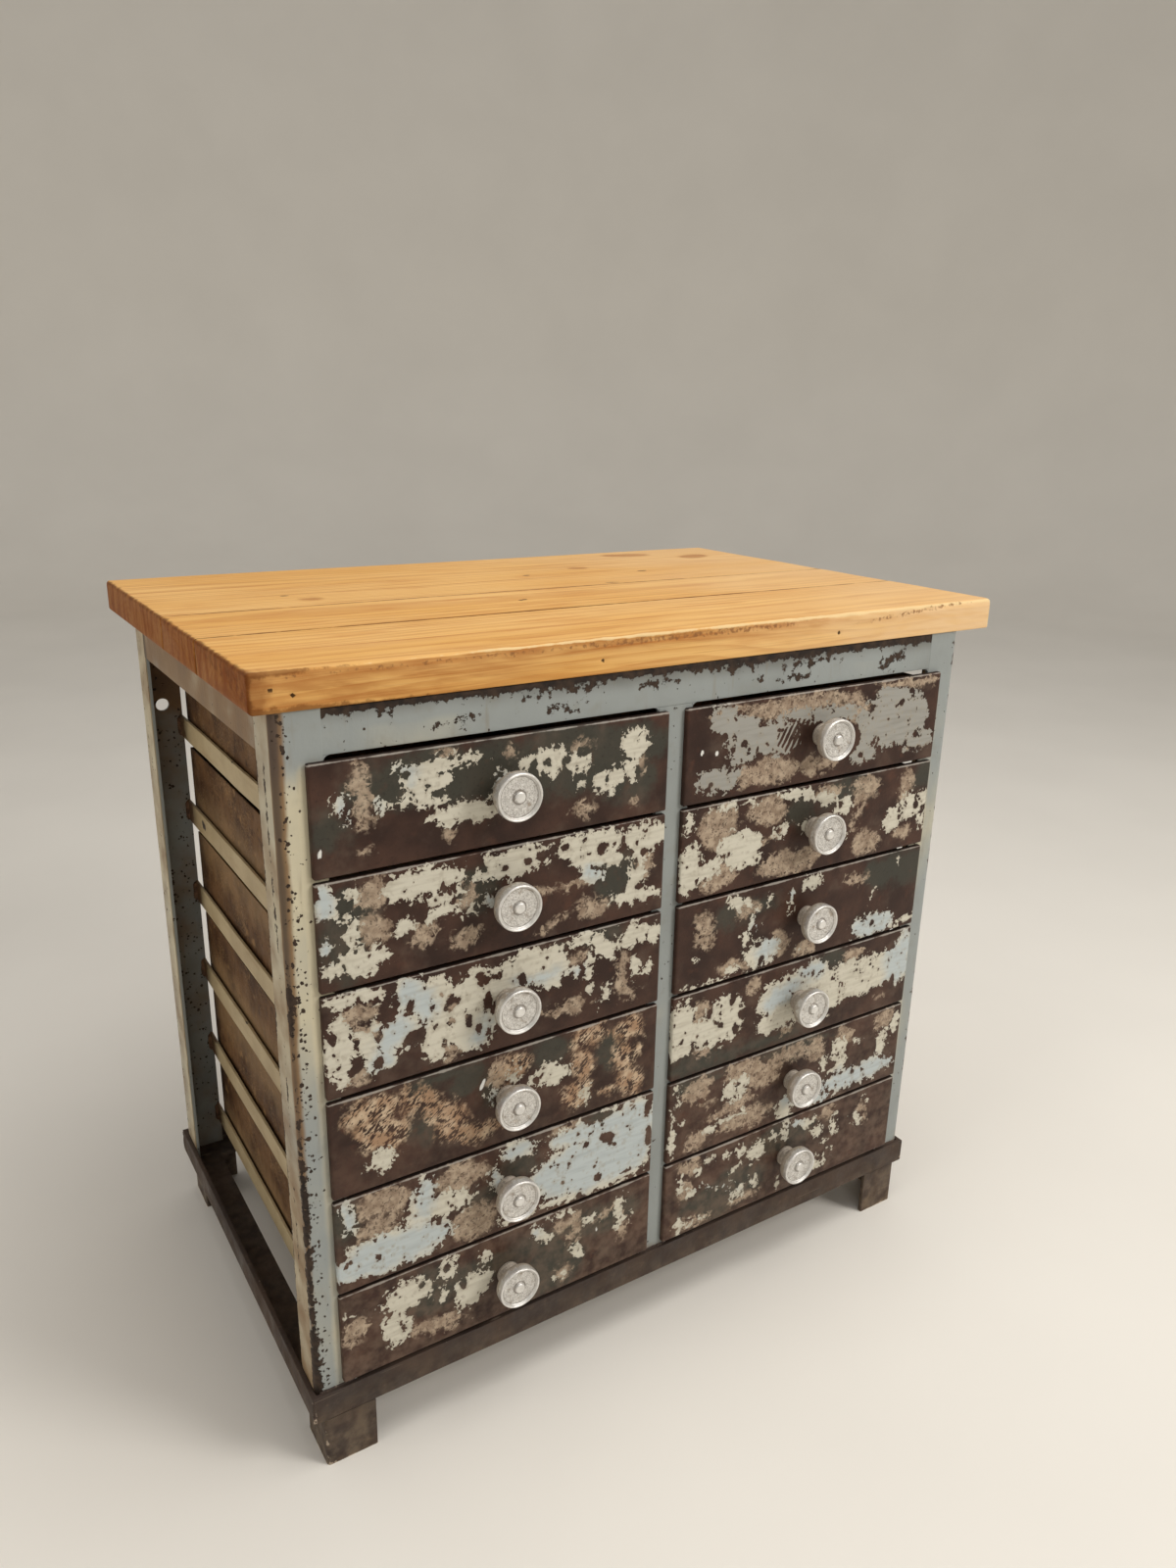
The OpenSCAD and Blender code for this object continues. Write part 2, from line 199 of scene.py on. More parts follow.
def grain(coords, size, detail=3.0, stretch=(1, 1, 1)):
    """Noise about 0, mostly between -1 and 1, with blotches about as wide as size, drawn out by stretch."""
    scale = tuple(1 / (size * s) for s in stretch)
    spot = put(coords.id_data, "ShaderNodeVectorMath", {0: coords, 1: scale}, operation="MULTIPLY").outputs[0]
    wires = {"Vector": spot, "Scale": 1.0, "Detail": detail}
    return times(put(coords.id_data, "ShaderNodeTexNoise", wires).outputs[0], 4.0, -2.0)


def over(share, under, upper, most=1.0):
    """Colour upper laid over colour under, by share times most. A colour is a socket, or a triple as on
    a screen."""
    under, upper = (c if isinstance(c, bpy.types.NodeSocket) else screen(*c) for c in (under, upper))
    share = share if most == 1.0 else times(share, most)
    return put(share.id_data, "ShaderNodeMix", {0: share, 6: under, 7: upper}, data_type="RGBA").outputs[2]


def field(coords, name):
    """A number that the piece's points carry, in millimetres."""
    return put(coords.id_data, "ShaderNodeAttribute", attribute_name=name).outputs["Fac"]


def xyz(coords):
    """The three coordinates, each by itself."""
    return put(coords.id_data, "ShaderNodeSeparateXYZ", {0: coords}).outputs


def ragged(coords, inside, reach, size, soft=0.4):
    """Where a coat holds, from a field of millimetres inside its rim: three noises, each a third of the
    last one's size, push the rim to and fro by about reach millimetres."""
    for share in (1, 3, 9):
        inside = times(grain(coords, size / share, 1.0), reach / share**0.5, inside)
    return step_up(inside, -soft, soft)


def finish(material, colour, roughness, height=None, depth=0.3 * MM, **sockets):
    """Closes a finish: colour, roughness and a height that is felt as bump go to the shader, and
    constants go straight to its own sockets."""
    shader = material.node_tree.nodes["Principled BSDF"]
    wire(shader, {"Base Color": colour, "Roughness": roughness})
    wire(shader, {key.replace("_", " "): value for key, value in sockets.items()})
    if height is not None:
        bump = {"Height": height, "Distance": depth, "Strength": 1.0}
        wire(shader, {"Normal": put(material.node_tree, "ShaderNodeBump", bump).outputs[0]})


def blank(name):
    """A new node material, and the object's own coordinates in it."""
    material = bpy.data.materials.new(name)
    material.use_nodes = True
    return material, put(material.node_tree, "ShaderNodeTexCoord").outputs["Object"]


base_brown, coords = blank("base_brown")
colour = over(step_up(grain(coords, 60 * MM), -0.6, 0.8), (54, 43, 38), (72, 57, 48))
colour = over(step_up(grain(coords, 7 * MM), 0.3, 1.6), colour, (92, 74, 60))
near_floor = step_up(xyz(coords)["Z"], 0.1, 0.0)
dust = times(near_floor, step_up(grain(coords, 12 * MM, 4.0), -0.9, 0.9))
colour = over(dust, colour, (150, 132, 108), 0.45)
bare = ragged(coords, field(coords, "worn"), 1.6, 9 * MM)
scratch = step_up(grain(coords, 9 * MM, 2.0, (9, 1, 0.25)), 0.85, 1.0)
colour = over(scratch, colour, (140, 126, 112), 0.4)
colour = over(bare, colour, (168, 152, 134))
height = calc("SUBTRACT", grain(coords, 5 * MM), bare)
matt = step_up(grain(coords, 30 * MM), -3.0, 2.0)
finish(base_brown, colour, matt, height, 0.15 * MM, Specular_IOR_Level=0.3)

# the axis that a rail of each side runs along, and whether the side lies low or high on the other axis
SIDES = {"front": (0, -1), "rear": (0, 1), "left": (1, -1), "right": (1, 1)}
BASE_WALL, BASE_BEND = 5 * MM, 3 * MM
for side, (along, outside) in SIDES.items():
    node = f"base_rail_{side}"
    low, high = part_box(node)
    points, faces, local = angle_bar(low, high, along, (outside, -1), BASE_WALL, BASE_BEND, mitre=True)
    from_top = (high.z - low.z - local[:, 1]) / MM
    points = dented(points, 0.3 * MM, 45 * MM, 3, (0, 1, 1))
    piece = made(f"ring_{side}", points, faces, base_brown, worn=-2.4 - from_top)
    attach(piece, "frame")
    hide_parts(node)

# Feet
# Short stubs of heavier angle welded under the ring, one at each corner, their bends to the outside.
# They have the ring's brown paint, scuffed where they stand on the floor.
FOOT_LEG, FOOT_WALL, FOOT_BEND = 50 * MM, 5 * MM, 4 * MM
low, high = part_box("feet")
stubs = []
for end_x, end_y in ((-1, -1), (1, -1), (-1, 1), (1, 1)):
    x = low.x if end_x < 0 else high.x - FOOT_LEG
    y = low.y if end_y < 0 else high.y - FOOT_LEG
    box = (x, y, low.z), (x + FOOT_LEG, y + FOOT_LEG, high.z)
    stubs.append(angle_bar(*box, 2, (end_x, end_y), FOOT_WALL, FOOT_BEND))
points, faces, local = gathered(stubs)
points = dented(points, 0.25 * MM, 30 * MM, 5, (1, 1, 0))
u, v, s = local.T / MM
piece = made("foot_stubs", points, faces, base_brown, worn=np.maximum(0.3 - s, 1.2 - u - v))
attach(piece, "frame")
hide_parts("feet")

# Corner posts
# Angle iron with its bend to the outside, welded to the ring's corners. The pale grey-blue paint has gone
# cream with age and is worn to dark brown steel along the bend, most of all low down, where brooms knock it.


def cells(coords, size):
    """Cells of about size: a random number from 0 to 1 for each, and the distance from its middle."""
    found = put(coords.id_data, "ShaderNodeTexVoronoi", {"Vector": coords, "Scale": 1 / size}).outputs
    return put(coords.id_data, "ShaderNodeSeparateColor", {0: found["Color"]}).outputs[0], found["Distance"]


def pits(coords, size, luck, slope, rarity):
    """Round pits, at most one to a cell: a random height up to luck, less rarity, falling off by slope."""
    pick, away = cells(coords, size)
    return times(pick, luck, times(away, -slope, -rarity))


def keep_solid(node, material):
    """A solid that stays as it is gets this finish in place of its plain one."""
    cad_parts[node].data.materials.clear()
    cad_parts[node].data.materials.append(material)


post_low, post_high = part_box("post_front_left")[0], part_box("post_rear_right")[1]
FRAME_MID, POST_OUT = (post_low.x + post_high.x) / 2, (post_high.x - post_low.x) / 2
REAR_FACE = post_high.y
frame_blue, coords = blank("frame_blue")
place = xyz(coords)
tint = times(grain(coords, 90 * MM, 3.0), 0.35, field(coords, "cream"))
# the rear posts are dull and khaki on their outward sides; inside they are painted browner and darker, most
# of all near their heads, which is painted shade under the top rails and planks over some brown dirt
at_rear = step_up(place["Y"], REAR_FACE - 44.25 * MM, REAR_FACE - 14.25 * MM)
out = calc("ABSOLUTE", calc("SUBTRACT", place["X"], FRAME_MID))
outward = step_up(out, POST_OUT - 1.5 * MM, POST_OUT - 0.5 * MM)
outward = times(outward, step_up(place["Y"], REAR_FACE - 54.25 * MM, REAR_FACE - 42.25 * MM))
tint = times(outward, 1.1, times(at_rear, -0.3, tint))
colour = over(step_up(tint, -1.1, 0.0), (112, 113, 108), (150, 155, 153))
colour = over(step_up(tint, 0.05, 1.0), colour, (204, 195, 168))
blotch = step_up(grain(coords, 22 * MM, 4.0), 0.1, 1.3)
colour = over(blotch, colour, (134, 131, 116), 0.4)
runs = step_up(grain(coords, 8 * MM, 3.0, (1, 1, 9)), 0.35, 1.2)
colour = over(runs, colour, (132, 116, 92), 0.4)
# painted shade: the inner faces of the rear posts turn darker brown towards their heads
inner = step_up(out, POST_OUT - 2.2 * MM, POST_OUT - 3.5 * MM)
inner = times(inner, step_up(place["Y"], REAR_FACE - 2.05 * MM, REAR_FACE - 3.25 * MM))
inner = times(inner, times(step_up(place["Z"], 550 * MM, 680 * MM), 20.0, 27.0))
grime = times(grain(coords, 35 * MM, 4.0), 8.0, field(coords, "grime"))
grime = times(outward, 32.0, times(at_rear, inner, grime))
brown = over(step_up(grime, 40, 62), (126, 94, 58), (80, 58, 41))
colour = over(step_up(grime, 22, 44), colour, brown, 0.9)
dots = calc("ADD", pits(coords, 3.4 * MM, 6.0, 4.5, 6.0), times(at_rear, 1.6, field(coords, "specks")))
chips = calc("MAXIMUM", pits(coords, 17 * MM, 8.0, 17.0, 7.0), dots)
bare = ragged(coords, calc("MAXIMUM", calc("SUBTRACT", field(coords, "worn"), 6.0), chips), 2.2, 9 * MM)
steel = over(step_up(grain(coords, 9 * MM), -0.8, 1.0), (34, 27, 23), (66, 51, 40))
colour = over(bare, colour, steel)
height = times(bare, -1.0, times(grain(coords, 6 * MM), 0.25))
finish(frame_blue, colour, times(bare, 0.12, 0.46), height, 0.35 * MM, Specular_IOR_Level=0.22)

# in millimetres: where the top rails meet the posts, and the start of a flange's toe
POST_WALL, POST_BEND, RAIL_FOOT, TOE = 4 * MM, 6 * MM, 625, 38.5
for node, corner, seed, wear, cream in (
    ("post_front_left", (-1, -1), 21, 5.5, 0.85),
    ("post_front_right", (1, -1), 22, 1.5, 0.2),
):
    low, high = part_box(node)
    points, faces, local = angle_bar(low, high, 2, corner, POST_WALL, POST_BEND)
    u, v, s = local.T / MM
    from_bend = np.maximum(u, v)
    lower = 1 - s / s.max()
    worn = wear * lower**1.3 - 0.5 - 0.8 * from_bend + 3.0 * lattice_noise(points, 60 * MM, seed)
    # the toes of both flanges are chipped now and then, below the top rails
    toe = (from_bend - TOE) * 1.2 + 1.4 * lattice_noise(points, 35 * MM, seed + 4) - 0.6
    toe = np.where(s < RAIL_FOOT, toe, -9)
    # a row of specks runs down the front beside the worn bend
    specks = np.where(v < 1, np.clip(4.0 - 0.45 * np.abs(u - 9), 0, 3.3), 0) * (wear > 3)
    side = (u < 4.1) & (v > POST_BEND / MM)
    tint = cream * np.interp(s, (0, 250, 480, 600, 640), (0.1, 0.3, 0.9, 1.0, 0.0))
    tint = tint + 0.3 * (u > 20) * (s < RAIL_FOOT)
    stain = np.where(wear > 3, 84 - 42 * lower - 5.2 * from_bend, 20 - from_bend)
    # one long dashed crack in the paint down the middle of the outward side
    crack = 1.1 - np.abs(v - 21 - 2.5 * np.sin(s / 97))
    crack = crack + 2.2 * lattice_noise(points * (1, 1, 0.4), 22 * MM, seed + 9)
    worn = np.maximum.reduce([worn, toe, np.where(side, crack - 0.5, -9)])
    points = dented(points, 0.35 * MM, 70 * MM, seed, (1, 1, 0))
    piece = made(
        node.replace("post_", "corner_"), points, faces, frame_blue, worn=worn + 6, specks=specks,
        cream=np.where(side, 0.75, tint), grime=np.where(side, 30 + 8 * lower, np.maximum(52 - s, stain)),
    )
    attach(piece, "frame")
    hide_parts(node)
# the rear posts keep their solids, which have the two wall holes drilled through their back flanges
for node in ("post_rear_left", "post_rear_right"):
    keep_solid(node, frame_blue)

# Centre bars
# Flat bars between the ring and the top rails, front and rear, to which the inner runners are welded.
# Same paint as the posts, scraped at the long arrises by the drawers.
for node, seed in (("front_mullion", 31), ("rear_centre_bar", 32)):
    low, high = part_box(node)
    size = np.array(high - low)
    outline = rounded_outline(
        [(0, 0), (size[0], 0), (size[0], size[1]), (0, size[1])], [0.6 * MM] * 4, 4 * MM
    )
    ends = np.zeros(len(outline))
    points, faces, local = carried(outline, low, np.eye(3), ends, ends + size[2], 8 * MM)
    u, v, s = local.T / MM
    from_arris = np.minimum(u, size[0] / MM - u)
    worn = 0.4 - from_arris + 1.6 * lattice_noise(points, 40 * MM, seed)
    points = dented(points, 0.3 * MM, 80 * MM, seed, (0, 1, 0))
    name = node.replace("_", "_bar_")
    piece = made(name, points, faces, frame_blue, worn=worn + 6, cream=-0.1, grime=58 - s)
    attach(piece, "frame")
    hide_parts(node)

# Top rails
# Four lengths of angle between the heads of the posts, one leg hanging and one lying under the planks. The
# welds in the corners of the openings are ground to small fillets, and the paint has flaked along the top,
# where the front rail is also darkened by painted shade under the planks.
RAIL_WALL, RAIL_BEND, FILLET, RAIL_INTO_POST = 4 * MM, 2.5 * MM, 5 * MM, 0.9 * MM
# clusters of chips on the front rail: (x, z, half width, half height), mm
CHIP_CLUSTERS = [
    (-304, 717, 16, 5), (-253, 701, 6, 6), (-230, 700, 11, 6), (-185, 702, 4, 3), (-166, 716, 16, 6),
    (-144, 700, 10, 6), (-125, 699, 10, 5), (-113, 716, 22, 5), (-37, 711, 22, 5), (55, 717, 30, 6),
    (81, 704, 9, 5), (130, 699, 22, 5), (151, 711, 34, 5), (252, 698, 9, 8), (270, 706, 13, 11),
    (300, 720, 20, 5),
]
bar_low, bar_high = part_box("front_mullion")
for side, (along, outside) in SIDES.items():
    node = f"top_rail_{side}"
    low, high = (np.array(c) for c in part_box(node))
    low[2] += FILLET if along == 0 else 0
    into = np.where(np.arange(3) == along, RAIL_INTO_POST, 0)
    parts = [angle_bar(low - into, high + into, along, (outside, 1), RAIL_WALL, RAIL_BEND)]
    if along == 0:
        t = np.linspace(0, np.pi / 2, 7)
        cove = np.concatenate([[(0, 0)], np.stack([1 - np.sin(t), np.cos(t) - 1], 1)]) * FILLET
        y = low[1] if side == "front" else high[1] - RAIL_WALL
        for x, way in ((low[0], 1), (bar_low.x, -1), (bar_high.x, 1), (high[0], -1)):
            thick = np.zeros(len(cove))
            axes = [(way, 0, 0), (0, 0, 1), (0, 1, 0)]
            parts.append(carried(cove, (x, y, low[2]), axes, thick, thick + RAIL_WALL, RAIL_WALL))
    points, faces, _ = gathered(parts)
    x, _, z = points.T / MM
    below = high[2] / MM - z
    worn = 0.8 - below * (0.45 if side == "front" else 0.9) + 1.8 * lattice_noise(points, 30 * MM, 41)
    cream, grime = 0.6, 42.0 if along == 1 else 8.0
    if side == "front":
        # a dark strip of bare steel under the planks, which is also painted shadow of the planks, more wear
        # to the right, and the clusters
        worn = np.maximum(worn, np.minimum(1.3 * (6 - below), 4)) + 1.0 + 1.2 * np.clip((x + 60) / 200, 0, 1)
        clusters = [3 * (1 - np.hypot((x - cx) / a, (z - cz) / b)) for cx, cz, a, b in CHIP_CLUSTERS]
        worn = np.maximum(worn, np.minimum(np.max(clusters, axis=0), 1.5) - 1.0)
        cream = np.interp(x, (-350, -230, -60, 60, 320), (0.15, 0.1, -0.1, -0.15, -0.15))
        # the rail is painted greyer and darker towards its top, as painted shade under the planks
        cream = cream - 0.75 * np.clip((20 - below) / 14, 0, 1)
    points = dented(points, 0.25 * MM, 60 * MM, 47, (0, 1, 0.4))
    piece = made(f"head_rail_{side}", points, faces, frame_blue, worn=worn + 6, cream=cream, grime=grime)
    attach(piece, "frame")
    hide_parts(node)

# Runners
# Six angles in each of four columns, welded between the front and the rear of the frame. A drawer slides on
# the lying leg and is steered by the upright one. Thin beige paint, rubbed to grey steel by the trays.
RUNNER_WALL, RUNNER_BEND, ROWS = 3 * MM, 2.5 * MM, 6
# one large chip on the left outer runners: how far along it is and how high, mm
CHIP_ALONG, CHIP_Z = 392, 504
runner_beige, coords = blank("runner_beige")
colour = over(step_up(grain(coords, 55 * MM), -1.0, 1.0), (186, 168, 132), (162, 142, 107))
streak = step_up(grain(coords, 9 * MM, 3.0, (1, 8, 1)), 0.2, 1.2)
colour = over(streak, colour, (146, 116, 78), 0.5)
rust = ragged(coords, field(coords, "rust"), 6.0, 14 * MM, 2.0)
colour = over(rust, colour, (112, 74, 46), 0.8)
bare = ragged(coords, field(coords, "worn"), 1.4, 12 * MM)
colour = over(bare, colour, (66, 57, 50))
finish(runner_beige, colour, 0.5, calc("SUBTRACT", times(grain(coords, 4 * MM), 0.3), bare), 0.3 * MM)
pitch = (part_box("drawer_tray_l1")[0].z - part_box("drawer_tray_l6")[0].z) / (ROWS - 1)
for place, bend_side in (("left_outer", -1), ("left_inner", 1), ("right_inner", -1), ("right_outer", 1)):
    node = f"runners_{place}"
    low, high = (np.array(c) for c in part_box(node))
    leg = high[2] - low[2] - pitch * (ROWS - 1)
    rows = []
    for row in range(ROWS):
        z = low[2] + row * pitch
        box = (low[0], low[1], z), (high[0], high[1], z + leg)
        rows.append(angle_bar(*box, 1, (bend_side, -1), RUNNER_WALL, RUNNER_BEND))
    points, faces, local = gathered(rows)
    u, v, s = local.T / MM
    ends = np.minimum(s, s.max() - s)
    worn = np.maximum(0.4 - np.abs(v - leg / MM), -0.4 - np.maximum(u, v))
    worn = worn + 1.6 * lattice_noise(points, 26 * MM, 51)
    if place == "left_outer":
        chip = 9 - np.hypot(s - CHIP_ALONG, 1.4 * (points[:, 2] / MM - CHIP_Z))
        worn = np.maximum(worn, chip + 1.5)
    points = dented(points, 0.3 * MM, 60 * MM, 53, (1, 0, 1))
    # the rear ends are the rustier ones
    rust = np.where(s > 300, 20, 8) - ends
    piece = made(f"slides_{place}", points, faces, runner_beige, worn=worn - 2.6, rust=rust)
    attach(piece, "frame")
    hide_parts(node)

# Weld beads
# Short runs of stick weld that hold the runners to the posts, the posts and the mullion to the ring, and
# the ring's mitres together. The beads are lumpy ripples, left rough and rusty under thin paint.
weld_rust, coords = blank("weld_rust")
colour = over(step_up(grain(coords, 6 * MM), -1.0, 1.0), (84, 60, 44), (136, 100, 70))
colour = over(step_up(grain(coords, 3 * MM), 0.4, 1.2), colour, (52, 42, 36))
finish(weld_rust, colour, 0.7, grain(coords, 1.2 * MM), 0.3 * MM)


def bead(start, end, radius, seed):
    """A weld bead: a tube round a straight run, its radius swelling once for every ripple and closing at
    both ends."""
    start, end = np.array(start), np.array(end)
    length = np.linalg.norm(end - start)
    t = np.linspace(0, 1, max(12, int(length / (0.6 * MM))))[:, None]
    turn = np.linspace(0, 2 * np.pi, 14, endpoint=False)
    across = np.cross((end - start) / length, (0.31, 0.52, 0.8))
    across /= np.linalg.norm(across)
    beside = np.cross((end - start) / length, across)
    closing = np.sqrt(np.clip(np.minimum(t, 1 - t) * length / radius, 1e-4, 1))
    ripple = 0.82 + 0.18 * np.abs(np.sin(np.pi * t * length / (2.6 * MM)))
    around = np.cos(turn)[:, None] * across + np.sin(turn)[:, None] * beside
    rings = start + (end - start) * t[..., None] + radius * (closing * ripple)[..., None] * around
    rings = rings + 0.25 * radius * lattice_noise(rings, 2.2 * radius, seed)[..., None] * around
    points = rings.reshape(-1, 3)
    return points, hoops(rings.shape[:2]), points


beads = []
for place, side in (("left_outer", 0), ("right_outer", 1)):
    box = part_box(f"runners_{place}")
    x = box[side].x
    for row in range(ROWS):
        z = box[0].z + row * pitch
        for y, thick in ((box[0].y + 0.6 * MM, 2.3 * MM), (box[1].y - 0.6 * MM, 3.4 * MM)):
            beads.append(bead((x, y, z + 1 * MM), (x, y, z + leg - 1 * MM), thick, len(beads)))
points, faces, _ = gathered(beads)
piece = made("welds_runners", points, faces, weld_rust, 60)
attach(piece, "frame")

ring_low, ring_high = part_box("base_rail_front")[0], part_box("base_rail_rear")[1]
beads = []
for x, px, inward in ((ring_low.x, post_low.x, 1), (ring_high.x, post_high.x, -1)):
    for y, py in ((ring_low.y, post_low.y), (ring_high.y, post_high.y)):
        # one bead up the ring's mitre, and one where the post stands on the ring
        mx, my = x + np.sign(px - x) * 1.2 * MM, y + np.sign(py - y) * 1.2 * MM
        start, end = (mx, my, ring_low.z + 2 * MM), (mx, my, ring_low.z + 29 * MM)
        beads.append(bead(start, end, 1.9 * MM, len(beads)))
        start, end = (px + inward * 3 * MM, py, ring_high.z), (px + inward * 37 * MM, py, ring_high.z)
        beads.append(bead(start, end, 1.6 * MM, len(beads)))
start, end = (bar_low.x + 2 * MM, bar_low.y, ring_high.z), (bar_high.x - 2 * MM, bar_low.y, ring_high.z)
beads.append(bead(start, end, 1.6 * MM, 40))
points, faces, _ = gathered(beads)
piece = made("welds_ring", points, faces, base_brown, 60, worn=-1.2)
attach(piece, "frame")

# Drawer trays
# Thin sheet folded to a trough with its ends welded in, never painted. The solids already have the fold and
# the sheet's thickness, so they stay, and get bare steel that has gone brown with rust, mottled dark.
tray_rust, coords = blank("tray_rust")
colour = over(step_up(grain(coords, 60 * MM, 5.0), -0.7, 0.7), (66, 43, 26), (108, 78, 50))
colour = over(step_up(grain(coords, 9 * MM, 4.0), 0.0, 1.1), colour, (58, 38, 24))
colour = over(step_up(grain(coords, 16 * MM, 4.0), 0.4, 1.0), colour, (136, 104, 68))
# a paler band, broken by noise, follows a wave in height that repeats every two rows of trays
wave = calc("SINE", times(xyz(coords)["Z"], np.pi / pitch, -0.425 * np.pi))
paler_band = step_up(times(grain(coords, 30 * MM, 4.0), 0.3, wave), -0.3, 0.9)
colour = over(paler_band, colour, (146, 119, 86), 0.5)
freckle = times(grain(coords, 45 * MM, 2.0), 0.6, grain(coords, 2.5 * MM, 2.0))
colour = over(step_up(freckle, 0.25, 0.9), colour, (142, 112, 76), 0.7)
matt = times(grain(coords, 12 * MM), 0.08, 0.58)
finish(tray_rust, colour, matt, grain(coords, 3 * MM, 4.0), 0.12 * MM, Specular_IOR_Level=0.15)
DRAWERS = [f"{column}{row}" for column in "lr" for row in range(1, ROWS + 1)]
for drawer in DRAWERS:
    keep_solid(f"drawer_tray_{drawer}", tray_rust)
